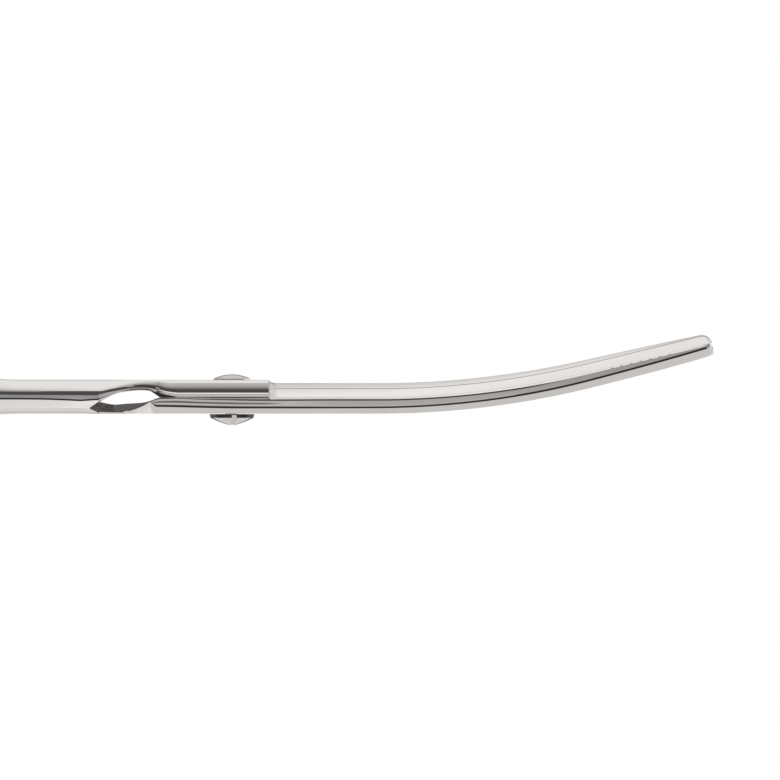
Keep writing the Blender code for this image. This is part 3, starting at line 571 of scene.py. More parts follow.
def memberRings(section, side, face):
    plain = section is plainSection
    shoulder = shank["shoulderX"] - (0.0 if plain else shank["combShoulderBack"])
    notchX = shoulder - 2 * shank["notch"]
    front, length = shank["bossFront"], overall["bladeLength"]
    runout = ringCounts["plainRunout" if plain else "combRunout"]
    steps, tipSteps = ringCounts["ricasso"], ringCounts["tip"]
    quarter = math.pi / 2
    behind = spread(joinX, notchX, ringCounts["shank"]) + [notchX, shoulder]
    ahead = spread(shoulder + 0.02, ringStops["window"], ringCounts["window"])
    ahead += spread(ringStops["window"], ringStops["heel"], ringCounts["heel"])
    ahead += spread(ringStops["heel"], front, ringCounts["boss"])
    ahead += [mix(front, bladeStart, 1 - math.cos(quarter * i / steps)) for i in range(steps)]
    ahead += spread(bladeStart, ringStops["blade"], ringCounts["blade"])
    ahead += spread(ringStops["blade"], ringStops["runout"], runout)
    ahead += spread(ringStops["runout"], length - bladeTip["round"], ringCounts["end"])
    for i in range(tipSteps + 1):
        ahead.append(length - bladeTip["round"] * (1 - math.sin(quarter * i / tipSteps)))
    rings = [(x, True) for x in behind] + [(x, False) for x in ahead]
    return [sectionRing(x, section, full, side, face) for x, full in rings]


# Mesh helpers

def newObject(name, mesh):
    made = bpy.data.objects.new(name, mesh)
    bpy.context.scene.collection.objects.link(made)
    return made


def meshFrom(bm, name):
    bmesh.ops.recalc_face_normals(bm, faces=bm.faces)
    mesh = bpy.data.meshes.new(name)
    bm.to_mesh(mesh)
    bm.free()
    return mesh


def loft(name, rings, inTriangles=False):
    bm = bmesh.new()
    rows = [[bm.verts.new(point) for point in points] for points in rings]
    count = len(rows[0])
    for a, b in zip(rows, rows[1:]):
        for i in range(count):
            j = (i + 1) % count
            bm.faces.new((a[i], a[j], b[j], b[i]))
    bm.faces.new(rows[0])
    bm.faces.new(rows[-1])
    if inTriangles:
        bmesh.ops.triangulate(bm, faces=bm.faces)
    return newObject(name, meshFrom(bm, name))


def turned(name, profile, steps=96):  # (radius, height) points from the axis out and back
    bm = bmesh.new()
    rows = []
    for i in range(steps):
        angle = 2 * math.pi * i / steps
        c, s = math.cos(angle) * mm, math.sin(angle) * mm
        rows.append([bm.verts.new((r * c, r * s, z * mm)) for r, z in profile])
    for i in range(steps):
        a, b = rows[i], rows[(i + 1) % steps]
        for k in range(len(profile) - 1):
            bm.faces.new((a[k], b[k], b[k + 1], a[k + 1]))
        if profile[0][0] > 0 and profile[-1][0] > 0:  # a washer's bore closes the profile
            bm.faces.new((a[-1], b[-1], b[0], a[0]))
    bmesh.ops.remove_doubles(bm, verts=bm.verts, dist=1e-7)
    return newObject(name, meshFrom(bm, name))


def prism(name, outline, start, end):  # outline of (x, z) drawn along Y
    bm = bmesh.new()
    first = [bm.verts.new((x * mm, start * mm, z * mm)) for x, z in outline]
    last = [bm.verts.new((x * mm, end * mm, z * mm)) for x, z in outline]
    bm.faces.new(first)
    bm.faces.new(last[::-1])
    for i in range(len(outline)):
        j = (i + 1) % len(outline)
        bm.faces.new((first[j], first[i], last[i], last[j]))
    return newObject(name, meshFrom(bm, name))


def plug(name, radius, low, high):
    return turned(name, [(0.0, low), (radius, low), (radius, high), (0.0, high)])


def bake(made):  # the evaluated mesh replaces the live one, and the modifiers go
    bpy.context.view_layer.update()
    evaluated = made.evaluated_get(bpy.context.evaluated_depsgraph_get())
    mesh = bpy.data.meshes.new_from_object(evaluated)
    made.modifiers.clear()
    made.data = mesh


def carve(made, tool, operation="DIFFERENCE"):
    cut = made.modifiers.new("carve", "BOOLEAN")
    cut.operation = operation
    cut.solver = "EXACT"
    cut.object = tool
    bake(made)
    bpy.data.objects.remove(tool, do_unlink=True)


def liftBlade(made):
    bm = bmesh.new()
    bm.from_mesh(made.data)
    bmesh.ops.triangulate(bm, faces=bm.faces)
    for vert in bm.verts:
        vert.co.z += rise(vert.co.x / mm, vert.co.y / mm) * mm
    bm.to_mesh(made.data)
    bm.free()


def paint(made, material):
    made.data.materials.clear()
    made.data.materials.append(material)


def finish(made, angle, body, node):
    made.data.shade_smooth()
    made.data.set_sharp_from_angle(angle=math.radians(angle))
    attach(made, body)
    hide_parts(node)


# Node helpers, for geometry and materials alike

def addNode(tree, kind, values=None, links=None, **settings):
    node = tree.nodes.new(kind)
    for key, value in settings.items():
        setattr(node, key, value)
    for key, value in (values or {}).items():
        node.inputs[key].default_value = value
    for key, source in (links or {}).items():
        tree.links.new(source, node.inputs[key])
    return node


def vectorOf(tree, values=None, **links):
    return addNode(tree, "ShaderNodeCombineXYZ", values, links).outputs["Vector"]


def moved(tree, geometry, key, vector):
    node = addNode(tree, "GeometryNodeTransform", {}, {"Geometry": geometry, key: vector})
    return node.outputs["Geometry"]


def newTree(name, sizes):
    tree = bpy.data.node_groups.new(name, "GeometryNodeTree")
    tree.interface.new_socket("Geometry", in_out="OUTPUT", socket_type="NodeSocketGeometry")
    for key, value in sizes.items():
        kind = "NodeSocketInt" if isinstance(value, int) else "NodeSocketFloat"
        tree.interface.new_socket(key, in_out="INPUT", socket_type=kind).default_value = value
    given = tree.nodes.new("NodeGroupInput")
    result = tree.nodes.new("NodeGroupOutput")
    return tree, given.outputs, result


def closeTree(tree, result, geometry, material):
    real = addNode(tree, "GeometryNodeRealizeInstances", links={"Geometry": geometry})
    painted = addNode(tree, "GeometryNodeSetMaterial", {"Material": material},
                      {"Geometry": real.outputs["Geometry"]})
    tree.links.new(painted.outputs["Geometry"], result.inputs["Geometry"])


def growFrom(name, tree, sizes):
    made = newObject(name, bpy.data.meshes.new(name))
    modifier = made.modifiers.new(name, "NODES")
    modifier.node_group = tree
    for item in tree.interface.items_tree:
        if item.in_out == "INPUT" and item.name in sizes:
            modifier[item.identifier] = sizes[item.name]
    bake(made)
    return made


# Steel and the small parts' materials

def shaderOf(name, colour, metallic, roughness):
    material = bpy.data.materials.new(name)
    material.use_nodes = True
    shader = material.node_tree.nodes["Principled BSDF"]
    shader.inputs["Base Color"].default_value = (*colour, 1)
    shader.inputs["Metallic"].default_value = metallic
    shader.inputs["Roughness"].default_value = roughness
    return material, material.node_tree, shader


def ramp(tree, source, stops):
    node = addNode(tree, "ShaderNodeValToRGB", links={"Fac": source})
    elements = node.color_ramp.elements
    while len(elements) < len(stops):
        elements.new(0.5)
    for element, (place, value) in zip(elements, stops):
        element.position = place
        element.color = (*value, 1) if isinstance(value, tuple) else (value, value, value, 1)
    return node.outputs["Color"]


def noise(tree, place, scale, detail, **more):
    values = {"Scale": scale, "Detail": detail, **more}
    return addNode(tree, "ShaderNodeTexNoise", values, {"Vector": place}).outputs["Fac"]


def addRelief(tree, shader, height, strength, depth):
    values = {"Strength": strength, "Distance": depth * mm}
    relief = addNode(tree, "ShaderNodeBump", values, {"Height": height})
    tree.links.new(relief.outputs["Normal"], shader.inputs["Normal"])


def steel(name, colour, roughness, grain, stretch, bump, depth=0.02):
    material, tree, shader = shaderOf(name, colour, 1.0, roughness[0])
    place = addNode(tree, "ShaderNodeTexCoord").outputs["Object"]
    drawn = addNode(tree, "ShaderNodeMapping", {"Scale": stretch}, {"Vector": place}).outputs["Vector"]
    lines = noise(tree, drawn, grain, 6.0, Roughness=0.65)
    cloud = noise(tree, place, 90.0, 3.0)
    tint = ramp(tree, cloud, [(0.3, tuple(c * 0.975 for c in colour)), (0.7, colour)])
    tree.links.new(tint, shader.inputs["Base Color"])
    both = addNode(tree, "ShaderNodeMath", {}, {0: lines, 1: cloud}, operation="MULTIPLY")
    span = {"From Min": 0.12, "From Max": 0.4, "To Min": roughness[0], "To Max": roughness[1]}
    rough = addNode(tree, "ShaderNodeMapRange", span, {"Value": both.outputs["Value"]})
    tree.links.new(rough.outputs["Result"], shader.inputs["Roughness"])
    addRelief(tree, shader, lines, bump, depth)
    return material


finishes = {  # grain is the noise's scale, and stretch draws it out along the strokes
    "mirrorSteel": {"colour": (0.84, 0.81, 0.79), "roughness": (0.03, 0.09), "grain": 900.0,
                    "stretch": (0.12, 1.0, 1.0), "bump": 0.02},
    "groundSteel": {"colour": (0.735, 0.71, 0.695), "roughness": (0.22, 0.38), "grain": 2600.0,
                    "stretch": (1.0, 0.05, 0.4), "bump": 0.25},
    "turnedSteel": {"colour": (0.8, 0.775, 0.76), "roughness": (0.06, 0.14), "grain": 1500.0,
                    "stretch": (1.0, 1.0, 4.0), "bump": 0.04},
    # painted shade: a darker steel that stands in for the shade in the heel's notch and on the inner wall
    # between the two members
    "paintedShadeSteel": {"colour": (0.46, 0.43, 0.415), "roughness": (0.24, 0.34), "grain": 1400.0,
                  "stretch": (1.0, 0.3, 1.0), "bump": 0.15},
    "stepSteel": {"colour": (0.8, 0.775, 0.76), "roughness": (0.05, 0.12), "grain": 1300.0,
                  "stretch": (1.0, 0.3, 0.7), "bump": 1.0, "depth": 0.22},
    "springSteel": {"colour": (0.5, 0.5, 0.52), "roughness": (0.2, 0.35), "grain": 1200.0,
                    "stretch": (1.0, 1.0, 1.0), "bump": 0.1},
}
steels = {name: steel(name, **values) for name, values in finishes.items()}
mirrorSteel = steels["mirrorSteel"]


def washerPlastic():
    material, tree, shader = shaderOf("washerPlastic", (0.85, 0.85, 0.83), 0.0, 0.38)
    fine = noise(tree, addNode(tree, "ShaderNodeTexCoord").outputs["Object"], 1800.0, 4.0)
    tint = ramp(tree, fine, [(0.35, (0.8, 0.8, 0.77)), (0.65, (0.87, 0.87, 0.85))])
    tree.links.new(tint, shader.inputs["Base Color"])
    addRelief(tree, shader, fine, 0.15, 0.02)
    return material


def bumperRubber():
    material, tree, shader = shaderOf("bumperRubber", (0.03, 0.03, 0.033), 0.0, 0.62)
    place = addNode(tree, "ShaderNodeTexCoord").outputs["Object"]
    fine = noise(tree, place, 3200.0, 5.0)
    dust = noise(tree, place, 420.0, 3.0)
    tint = ramp(tree, dust, [(0.4, (0.022, 0.022, 0.025)), (0.75, (0.05, 0.05, 0.052))])
    tree.links.new(tint, shader.inputs["Base Color"])
    rough = addNode(tree, "ShaderNodeMapRange", {"To Min": 0.5, "To Max": 0.75}, {"Value": fine})
    tree.links.new(rough.outputs["Result"], shader.inputs["Roughness"])
    addRelief(tree, shader, fine, 0.3, 0.03)
    return material


# Finger rings, swept by a node tree

def fingerRing(name, side):
    sizes = {
        "length": ringA * mm, "width": ringB * mm, "bar": ring["bar"] / 2 * mm,
        "tall": ring["barHeight"] / ring["bar"], "steps": ring["steps"], "barSteps": ring["barSteps"],
    }
    tree, given, result = newTree(name, sizes)
    circle = "GeometryNodeCurvePrimitiveCircle"
    path = addNode(tree, circle, {"Radius": 1.0}, {"Resolution": given["steps"]})
    bar = addNode(tree, circle, {}, {"Resolution": given["barSteps"], "Radius": given["bar"]})
    scale = vectorOf(tree, {"Z": 1.0}, X=given["length"], Y=given["width"])
    oval = moved(tree, path.outputs["Curve"], "Scale", scale)
    sweep = addNode(tree, "GeometryNodeCurveToMesh", {}, {
        "Curve": oval, "Profile Curve": bar.outputs["Curve"],
    })
    tallness = vectorOf(tree, {"X": 1.0, "Y": 1.0}, Z=given["tall"])
    closeTree(tree, result, moved(tree, sweep.outputs["Mesh"], "Scale", tallness), mirrorSteel)
    made = growFrom(name, tree, sizes)
    made.data.transform(Matrix.Translation(Vector((ringX, side * ringU, ringZ)) * mm))
    bm = bmesh.new()
    bm.from_mesh(made.data)
    bmesh.ops.remove_doubles(bm, verts=bm.verts, dist=1e-7)
    made.data = meshFrom(bm, name)
    return made


# The gaps between the teeth, one slanted block each, set out by a node tree

def toothGaps(name):
    first = teeth["firstX"]
    last = first + teeth["pitch"] * (teeth["count"] - 1)
    sizes = {
        "count": teeth["count"], "pitch": teeth["pitch"] * mm, "slot": teeth["slot"] * mm,
        "first": first * mm, "last": last * mm, "slant": math.radians(teeth["slant"]),
        "spineFirst": spineSide(first, shank["combHeel"], combBlade["spine"]) * mm,
        "spineLast": spineSide(last, shank["combHeel"], combBlade["spine"]) * mm,
        "reach": teeth["reach"] * mm,
    }
    tree, given, result = newTree(name, sizes)
    row = addNode(tree, "GeometryNodeMeshLine", links={
        "Count": given["count"],
        "Start Location": vectorOf(tree, X=given["first"]),
        "Offset": vectorOf(tree, X=given["pitch"]),
    })
    position = addNode(tree, "GeometryNodeInputPosition").outputs["Position"]
    place = addNode(tree, "ShaderNodeSeparateXYZ", links={"Vector": position})
    span = {"From Min": given["first"], "From Max": given["last"], "Value": place.outputs["X"]}
    spine = addNode(tree, "ShaderNodeMapRange", links={
        **span, "To Min": given["spineFirst"], "To Max": given["spineLast"],
    })
    share = addNode(tree, "ShaderNodeMapRange", links=span)
    stop = addNode(tree, "ShaderNodeFloatCurve", links={"Value": share.outputs["Result"]})
    curve = stop.mapping.curves[0]
    for point, spot in zip(curve.points, teeth["stop"]):
        point.location = spot
    for spot in teeth["stop"][2:]:
        curve.points.new(*spot)
    stop.mapping.update()
    left = addNode(tree, "ShaderNodeMath", {1: 2 * mm}, {0: stop.outputs["Value"]}, operation="MULTIPLY")
    root = addNode(tree, "ShaderNodeMath", operation="ADD", links={
        0: spine.outputs["Result"], 1: left.outputs["Value"],
    })
    placed = addNode(tree, "GeometryNodeSetPosition", links={
        "Geometry": row.outputs["Mesh"],
        "Offset": vectorOf(tree, {"Z": (meetingZ - rideGap) * mm}, Y=root.outputs["Value"]),
    })
    size = vectorOf(tree, X=given["slot"], Y=given["reach"], Z=given["reach"])
    block = addNode(tree, "GeometryNodeMeshCube", links={"Size": size})
    ahead = addNode(tree, "ShaderNodeMath", {1: 0.5}, {0: given["reach"]}, operation="MULTIPLY")
    pushed = moved(tree, block.outputs["Mesh"], "Translation", vectorOf(tree, Y=ahead.outputs["Value"]))
    leaning = moved(tree, pushed, "Rotation", vectorOf(tree, X=given["slant"]))
    gaps = addNode(tree, "GeometryNodeInstanceOnPoints", links={
        "Points": placed.outputs["Geometry"], "Instance": leaning,
    })
    closeTree(tree, result, gaps.outputs["Instances"], mirrorSteel)
    return growFrom(name, tree, sizes)


pivot = {  # what the pieces on the pivot share
    "clearance": 0.1,
    "barrel": 2.2,
    "neck": 4.5,
    "neckLength": 2.4,
    "screw": 1.3,
    "threadDepth": 3.4,
    "washer": 5.4,
    "washerThick": 0.5,
    "washerEdge": 0.05,
    "spring": 3.2,
    "springThick": 0.3,
    "springDish": 0.25,
}
springTop = pivot["springThick"] + pivot["springDish"] + pivot["clearance"]
barrelEnd = springTop + 2 * pivot["clearance"]
washerLow = meetingZ - pivot["washerThick"]
above, below = 20, -10  # heights clear of the part, for the tools that cut it

heel = {
    "slant": [  # the toothed member's edge behind the boss, in (x, z), closed over the top
        (-12.9, meetingZ + 0.4), (-13.6, meetingZ), (-15.5, 2.18), (-16.8, 1.41), (-18.0, 0.91),
        (-19.3, 0.49), (-22.2, 0.36), (-25.2, 0.13), (-27.0, -0.1), (-27.0, meetingZ + 0.4),
    ],
    "slantY": (-20, -0.6),
    "wallLean": 0.072,
    "soleX": -13.5,
    # where painted shade goes: the plain member's notch and the toothed member's wall behind the boss
    "paintedShadeNotchX": (-27.2, -24.9),
    "paintedShadeNotchReach": 8.4,
    "paintedShadeWallX": (-26.0, -13),
    "paintedShadeWallY": (-1.5, 1.6),
}


def within(value, limits):
    return limits[0] < value < limits[1]


def groundInside(made, face):  # sliding faces are ground, the step by hand, and the heel's notch and inner wall get painted shade, a darker steel
    used = [steels[name] for name in ("mirrorSteel", "groundSteel", "paintedShadeSteel", "stepSteel")]
    for material in used:
        if material.name not in made.data.materials:
            made.data.materials.append(material)
    mirror, ground, dark, step = [made.data.materials.find(material.name) for material in used]
    for polygon in made.data.polygons:
        x, y, z = polygon.center / mm
        normal = polygon.normal
        level = (z - rise(x, y) - meetingZ) * face
        onSide = level > 0.02
        onSole = abs(level - rideGap) < 0.02 and normal.z * face < -0.9
        inNotch = within(x, heel["paintedShadeNotchX"]) and abs(y) < heel["paintedShadeNotchReach"] and normal.x > 0.15
        onWall = within(x, heel["paintedShadeWallX"]) and within(y, heel["paintedShadeWallY"]) and normal.y < -0.5
        onStep = within(x, (shank["bossFront"], bladeStart - 0.1)) and y < 0
        polygon.material_index = mirror
        if x > heel["soleX"] and onSole:
            polygon.material_index = ground
        # painted shade: the notch and the wall take the darker steel in place of the shade between the
        # members
        elif face > 0 and inNotch or face < 0 and onWall and onSide:
            polygon.material_index = dark
        elif face > 0 and onStep and onSide:
            polygon.material_index = step


def buildPlainMember():
    made = loft("plainMember", memberRings(plainSection, -1, 1), True)
    carve(made, plug("barrelHole", pivot["barrel"] + pivot["clearance"], meetingZ - 1, above))
    half = pivot["neck"] / 2 + pivot["clearance"]
    low = overall["topZ"] - pivot["neckLength"] - pivot["clearance"]
    square = [(-half, low), (half, low), (half, above), (-half, above)]
    carve(made, prism("neckHole", square, -half, half))
    liftBlade(made)
    carve(made, fingerRing("plainRing", -1), "UNION")
    groundInside(made, 1)
    finish(made, 9, "plain_member", "plain_blade")
    print("plain member", len(made.data.polygons))


def buildToothedMember():
    made = loft("toothedMember", memberRings(combSection, 1, -1), True)
    cut = prism("heelSlant", heel["slant"], *heel["slantY"])
    for vert in cut.data.vertices:
        if vert.co.y > -1 * mm:  # the wall it leaves leans back
            vert.co.y += (vert.co.z - meetingZ * mm) * heel["wallLean"]
    carve(made, cut)
    carve(made, plug("barrelHole", pivot["barrel"] + pivot["clearance"], below, meetingZ + 1))
    carve(made, plug("washerPocket", pivot["washer"] + pivot["clearance"], washerLow - 0.1, above))
    carve(made, plug("springPocket", pivot["spring"] + pivot["clearance"], below, springTop))
    carve(made, toothGaps("toothGaps"))
    liftBlade(made)
    carve(made, fingerRing("toothedRing", 1), "UNION")
    groundInside(made, -1)
    finish(made, 9, "comb_member", "comb_blade")
    print("toothed member", len(made.data.polygons))


nut = {
    "dome": 3.5,
    "domeHeight": 0.95,
    "domeEdge": 0.14,
    "domeSteps": 24,
    "seam": 0.02,
    "neckOver": 0.2,
    "neckIn": 0.1,
}


def buildDomeNut():
    top = overall["topZ"] + pivot["clearance"]
    seat = overall["topZ"] + nut["seam"]
    bore = pivot["screw"] + pivot["clearance"]
    boreTop = barrelEnd + pivot["threadDepth"] + pivot["clearance"]
    sphere = (nut["dome"] ** 2 + nut["domeHeight"] ** 2) / (2 * nut["domeHeight"])
    sweep = math.asin(nut["dome"] / sphere)
    flatter = 1 - nut["domeEdge"] / nut["domeHeight"]
    profile = []
    for i in range(nut["domeSteps"] + 1):
        angle = sweep * i / nut["domeSteps"]
        drop = flatter * sphere * (1 - math.cos(angle))
        profile.append((sphere * math.sin(angle), top + nut["domeHeight"] - drop))
    profile += [
        (nut["dome"] + nut["seam"], top), (nut["dome"], seat), (pivot["barrel"], seat),
        (pivot["barrel"], barrelEnd), (bore, barrelEnd), (bore, boreTop), (0.0, boreTop + bore / 2),
    ]
    made = turned("domeNut", profile)
    half = pivot["neck"] / 2
    low = overall["topZ"] - pivot["neckLength"]
    high = top + nut["neckOver"]
    neck = prism("neck", [(-half, low), (half, low), (half, high), (-half, high)], -half, half)
    carve(neck, plug("neckCore", (bore + pivot["barrel"]) / 2, low - 1, above))
    carve(neck, plug("neckRound", nut["dome"] - nut["neckIn"], low - 1, top + 1), "INTERSECT")
    carve(made, neck, "UNION")
    paint(made, mirrorSteel)
    finish(made, 30, "plain_member", "dome_nut")
    print("dome nut", len(made.data.polygons))


screw = {
    "head": 4.25,
    "headTop": 0.7,
    "rim": 0.75,
    "rimBreak": 0.04,
    "rimFoot": (0.155, 0.24),  # insets on either side of the rim's lower edge
    "cone": 1.4,
    "belly": 0.1,  # how far the cone bulges
    "endBreak": 0.3,
    "slot": 0.9,
    "slotTurn": 6.5,  # degrees
    "slotCrown": 0.12,
}


def buildPivotScrew():
    seat = -pivot["clearance"]
    low = seat - screw["rim"]
    tip = low - screw["cone"]
    end = barrelEnd + pivot["threadDepth"]
    r, head, top = pivot["screw"], screw["head"], screw["headTop"]
    chamfer, rimBreak = screw["endBreak"], screw["rimBreak"]
    before, after = screw["rimFoot"]
    profile = [
        (0.0, end), (r - chamfer, end), (r, end - chamfer), (r, seat), (head - rimBreak, seat),
        (head, seat - rimBreak), (head - before, low + 0.02), (head - after, low - 0.02),
    ]
    for i in range(1, 9):
        t = i / 8
        bulge = screw["belly"] * math.sin(math.pi * t)
        profile.append((mix(head - after, top, t), mix(low - 0.02, tip + 0.1, t) - bulge))
    profile += [(top * 0.75, tip + 0.03), (top * 0.4, tip + 0.005), (0.0, tip)]
    made = turned("pivotScrew", profile)
    half = screw["slot"] / 2
    floor = seat - screw["rim"] / 4
    crown = tip + screw["slotCrown"]
    outline = [(-20, floor), (-head, floor), (-0.5, crown), (0.5, crown), (head, floor), (20, floor)]
    blade = prism("driverSlot", outline + [(20, tip - 1), (-20, tip - 1)], -half, half)
    blade.data.transform(Matrix.Rotation(math.radians(90 + screw["slotTurn"]), 4, "Z"))
    carve(made, blade)
    paint(made, steels["turnedSteel"])
    finish(made, 25, "tension_screw", "pivot_screw")
    print("pivot screw", len(made.data.polygons))


def buildWashers():
    inner = pivot["barrel"] + 2 * pivot["clearance"]
    outer, edge = pivot["washer"], pivot["washerEdge"]
    high = washerLow + pivot["washerThick"]
    made = turned("rideWasher", [
        (inner, high), (outer - edge, high), (outer, high - edge), (outer, washerLow), (inner, washerLow),
    ])
    paint(made, washerPlastic())
    finish(made, 30, "comb_member", "ride_washer")
    inner = pivot["screw"] + 3 * pivot["clearance"]
    outer, dish, thick = pivot["spring"], pivot["springDish"], pivot["springThick"]
    made = turned("springWasher", [(inner, thick + dish), (outer, thick), (outer, 0.0), (inner, dish)])
    paint(made, steels["springSteel"])
    finish(made, 30, "comb_member", "spring_washer")
    print("two washers")


def ringPoint(angle, side, outward=0.0):
    x = ringX + (ringA + outward) * math.cos(angle)
    u = ringU - (ringB + outward) * math.sin(angle)
    return Vector((x, side * u, ringZ))


bumper = {
    "radius": 2.4,
    "reach": 1.8,
    "sole": 0.3,
    "stem": 1.2,
    "stemLength": 2.6,
    "round": 0.6,
    "steps": 64,
}


def buildBumper():
    profile = [(0.0, bumper["reach"])]
    for i in range(9):
        angle = math.pi / 2 * i / 8
        r = bumper["radius"] - bumper["round"] * (1 - math.sin(angle))
        profile.append((r, bumper["reach"] - bumper["round"] * (1 - math.cos(angle))))
    sole, stem, end = bumper["sole"], bumper["stem"], 0.1 - bumper["stemLength"]
    profile += [(bumper["radius"], sole), (stem, sole), (stem, end), (0.0, end)]
    made = turned("bumperPlug", profile, bumper["steps"])
    outward = Matrix.Rotation(-math.pi / 2, 4, "X")
    place = Matrix.Translation(ringPoint(math.pi / 2, -1, ring["bar"] / 2) * mm) @ outward
    made.data.transform(place)
    paint(made, bumperRubber())
    finish(made, 30, "plain_member", "bumper")
    print("bumper")


rest = {
    "length": 19.0,
    "radius": 2.3,
    "tip": 1.5,
    "stud": 1.1,
    "studLength": 2.6,
    "angle": 52.0,  # degrees, its place round the ring
    "sweep": 55.0,  # degrees that it bends through
    "foot": 0.15,
    "flare": 0.1,
    "waist": 0.22,
    "steps": 40,
    "capSteps": 10,
    "sides": 48,
}


def buildFingerRest():
    angle = math.pi + math.radians(rest["angle"])
    way = Vector((math.cos(angle) / ringA, -math.sin(angle) / ringB, 0)).normalized()
    across = Vector((way.y, -way.x, 0))
    seat = ringPoint(angle, 1) + way * ring["bar"] / 2
    foot, radius = rest["foot"], rest["radius"]
    spots = [
        (seat - way * rest["studLength"], rest["stud"]),
        (seat + way * foot, rest["stud"]),
        (seat + way * (foot + 0.01), radius * 0.86),
        (seat + way * (foot + 0.2), radius),
    ]
    sweep = math.radians(rest["sweep"])
    bend = rest["length"] / sweep
    for i in range(1, rest["steps"] + 1):
        share = i / rest["steps"]
        turn = sweep * share
        forward = foot + rest["flare"] + bend * math.sin(turn)
        place = seat + way * forward - across * bend * (1 - math.cos(turn))
        waist = 1 - rest["waist"] * math.sin(math.pi * min(1.0, share * 1.15)) * (1 - share)
        spots.append((place, mix(radius, rest["tip"], share) * waist))
    last = spots[-1][0]
    onward = way * math.cos(sweep) - across * math.sin(sweep)
    for i in range(1, rest["capSteps"] + 1):
        turn = math.pi / 2 * i / rest["capSteps"]
        r = max(rest["tip"] * math.cos(turn), 0.02)
        spots.append((last + onward * rest["tip"] * math.sin(turn), r))
    up = Vector((0, 0, 1))
    angles = [2 * math.pi * k / rest["sides"] for k in range(rest["sides"])]
    rings = []
    for i, (place, r) in enumerate(spots):
        ahead = (spots[min(i + 1, len(spots) - 1)][0] - spots[max(i - 1, 0)][0]).normalized()
        aside = ahead.cross(up).normalized()
        rings.append([(place + (aside * math.cos(a) + up * math.sin(a)) * r) * mm for a in angles])
    made = loft("fingerRest", rings)
    paint(made, mirrorSteel)
    finish(made, 35, "comb_member", "finger_rest")
    print("finger rest")


# Camera, studio and floor

view = {
    "distance": 3.0,  # in m
    "middleX": 30.02,
    "middleZ": 4.467,
    "width": 148.2,
    "sensor": 36,
}
floorZ = cadBox[0][2]


def buildCamera():
    camera = bpy.data.cameras.new("camera")
    camera.sensor_width = view["sensor"]
    camera.lens = view["sensor"] * view["distance"] / (view["width"] * mm)
    camera.clip_end = 20
    made = bpy.data.objects.new("camera", camera)
    made.location = (view["middleX"] * mm, -view["distance"], floorZ)  # sees the floor edge-on
    made.rotation_euler = (math.pi / 2, 0, 0)
    camera.shift_y = (view["middleZ"] * mm - floorZ) / (view["width"] * mm)
    bpy.context.scene.collection.objects.link(made)
    bpy.context.scene.camera = made


studio = {  # what the steel mirrors: brightness by the height of the direction, -1 to 1
    "near": [(-1.0, 0.8), (-0.92, 1.0), (-0.85, 0.86), (-0.74, 0.8), (-0.6, 0.7), (-0.5, 0.2),
             (-0.43, 0.03), (-0.19, 0.03), (-0.155, 0.3), (-0.12, 0.6), (-0.05, 0.52), (0.0, 0.45),
             (0.07, 0.42), (0.12, 0.32), (0.18, 0.06), (0.44, 0.09), (0.54, 0.24), (0.62, 0.38),
             (0.72, 0.58), (0.8, 0.8), (0.88, 0.93), (1.0, 0.94)],
    "far": [(-1.0, 0.73), (-0.91, 0.69), (-0.8, 0.65), (-0.72, 0.74), (-0.44, 0.74), (-0.3, 0.12),
            (-0.09, 0.1), (-0.03, 0.42), (0.04, 0.46), (0.1, 0.16), (0.24, 0.16), (0.36, 0.5),
            (0.5, 0.64), (0.66, 0.7), (0.84, 0.79), (0.93, 0.9), (0.98, 1.0), (1.0, 1.0)],
    "farStart": (-0.1, 0.3),
    "boxWay": (0.862, 0.507, 0.0),  # soft box at the right
    "boxEdge": (0.72, 0.86),
    "boxTall": [(0.45, 0.0), (0.49, 1.0), (0.84, 1.0), (0.92, 0.0)],
    "boxLight": (0.95, 0.95, 0.95, 1),
    "lampPlace": (-0.2, -0.3, 1.2),  # in m
    "lampTilt": (14, -9),
    "lampSize": 0.8,
    "lampEnergy": 5.6,
}


def band(tree, source, limits):
    return addNode(tree, "ShaderNodeMapRange", {"From Min": limits[0], "From Max": limits[1]},
                   {"Value": source}, interpolation_type="SMOOTHSTEP").outputs["Result"]


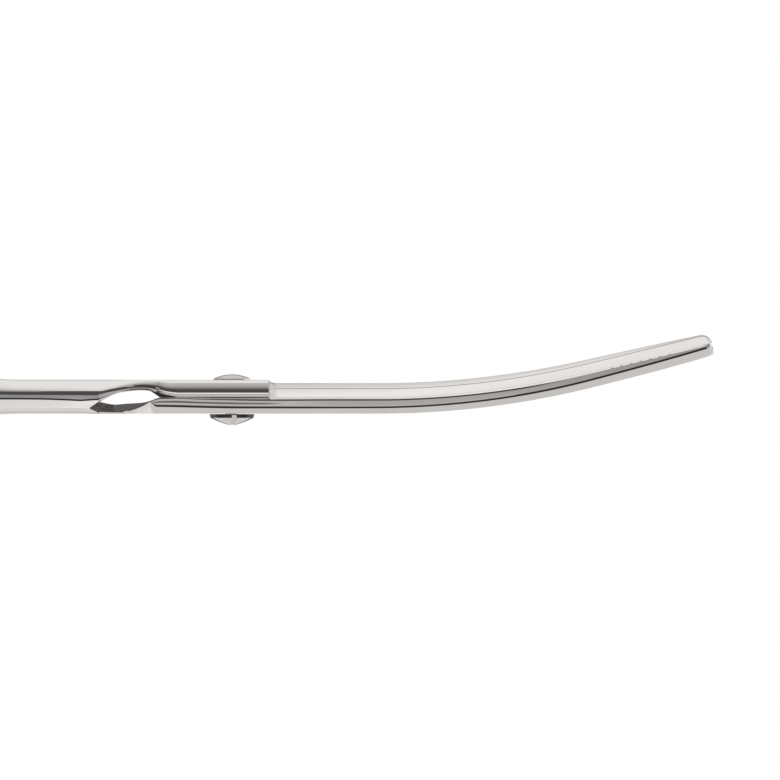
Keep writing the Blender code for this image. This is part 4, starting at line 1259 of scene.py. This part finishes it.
def buildStudio():  # bright above and below, dark flags near the horizon, grey between them
    world = bpy.data.worlds.new("studio")
    bpy.context.scene.world = world
    world.use_nodes = True
    tree = world.node_tree
    tree.nodes.clear()
    way = addNode(tree, "ShaderNodeTexCoord").outputs["Generated"]
    part = addNode(tree, "ShaderNodeSeparateXYZ", links={"Vector": way}).outputs
    height = addNode(tree, "ShaderNodeMapRange", {"From Min": -1.0, "From Max": 1.0}, {"Value": part["Z"]})
    height = height.outputs["Result"]
    near, far = [ramp(tree, height, [((z + 1) / 2, light) for z, light in studio[side]])
                 for side in ("near", "far")]
    toBack = band(tree, part["Y"], studio["farStart"])
    both = addNode(tree, "ShaderNodeMix", {}, {0: toBack, 6: near, 7: far}, data_type="RGBA")
    facing = addNode(tree, "ShaderNodeVectorMath", {1: studio["boxWay"]}, {0: way}, operation="DOT_PRODUCT")
    beside = band(tree, facing.outputs["Value"], studio["boxEdge"])
    tall = ramp(tree, height, studio["boxTall"])
    box = addNode(tree, "ShaderNodeMath", {}, {0: beside, 1: tall}, operation="MULTIPLY")
    boxed = addNode(tree, "ShaderNodeMix", {7: studio["boxLight"]},
                    {0: box.outputs["Value"], 6: both.outputs[2]}, data_type="RGBA")
    seen = addNode(tree, "ShaderNodeLightPath").outputs["Is Camera Ray"]
    white = addNode(tree, "ShaderNodeMix", {7: (1, 1, 1, 1)}, {0: seen, 6: boxed.outputs[2]},
                    data_type="RGBA")
    light = addNode(tree, "ShaderNodeBackground", {"Strength": 1.0}, {"Color": white.outputs[2]})
    addNode(tree, "ShaderNodeOutputWorld", links={"Surface": light.outputs["Background"]})
    lamp = bpy.data.lights.new("softBox", "AREA")
    lamp.energy = studio["lampEnergy"]
    lamp.size = studio["lampSize"]
    made = bpy.data.objects.new("softBox", lamp)
    made.location = studio["lampPlace"]
    made.rotation_euler = (*[math.radians(tilt) for tilt in studio["lampTilt"]], 0)
    made.visible_glossy = False
    bpy.context.scene.collection.objects.link(made)


def buildFloor():
    bm = bmesh.new()
    place = Matrix.Translation((0, 0, floorZ))
    bmesh.ops.create_circle(bm, cap_ends=True, segments=96, radius=2.6, matrix=place)
    made = newObject("floor", meshFrom(bm, "floor"))
    material, _, shader = shaderOf("paleFloor", (0.86, 0.86, 0.86), 0.0, 0.9)
    shader.inputs["Specular IOR Level"].default_value = 0.1
    paint(made, material)
    made.visible_glossy = False


bpy.context.scene.view_settings.view_transform = "Standard"
buildCamera()
buildStudio()
buildFloor()
print("studio ready")
buildPlainMember()
buildToothedMember()
buildDomeNut()
buildPivotScrew()
buildWashers()
buildBumper()
buildFingerRest()
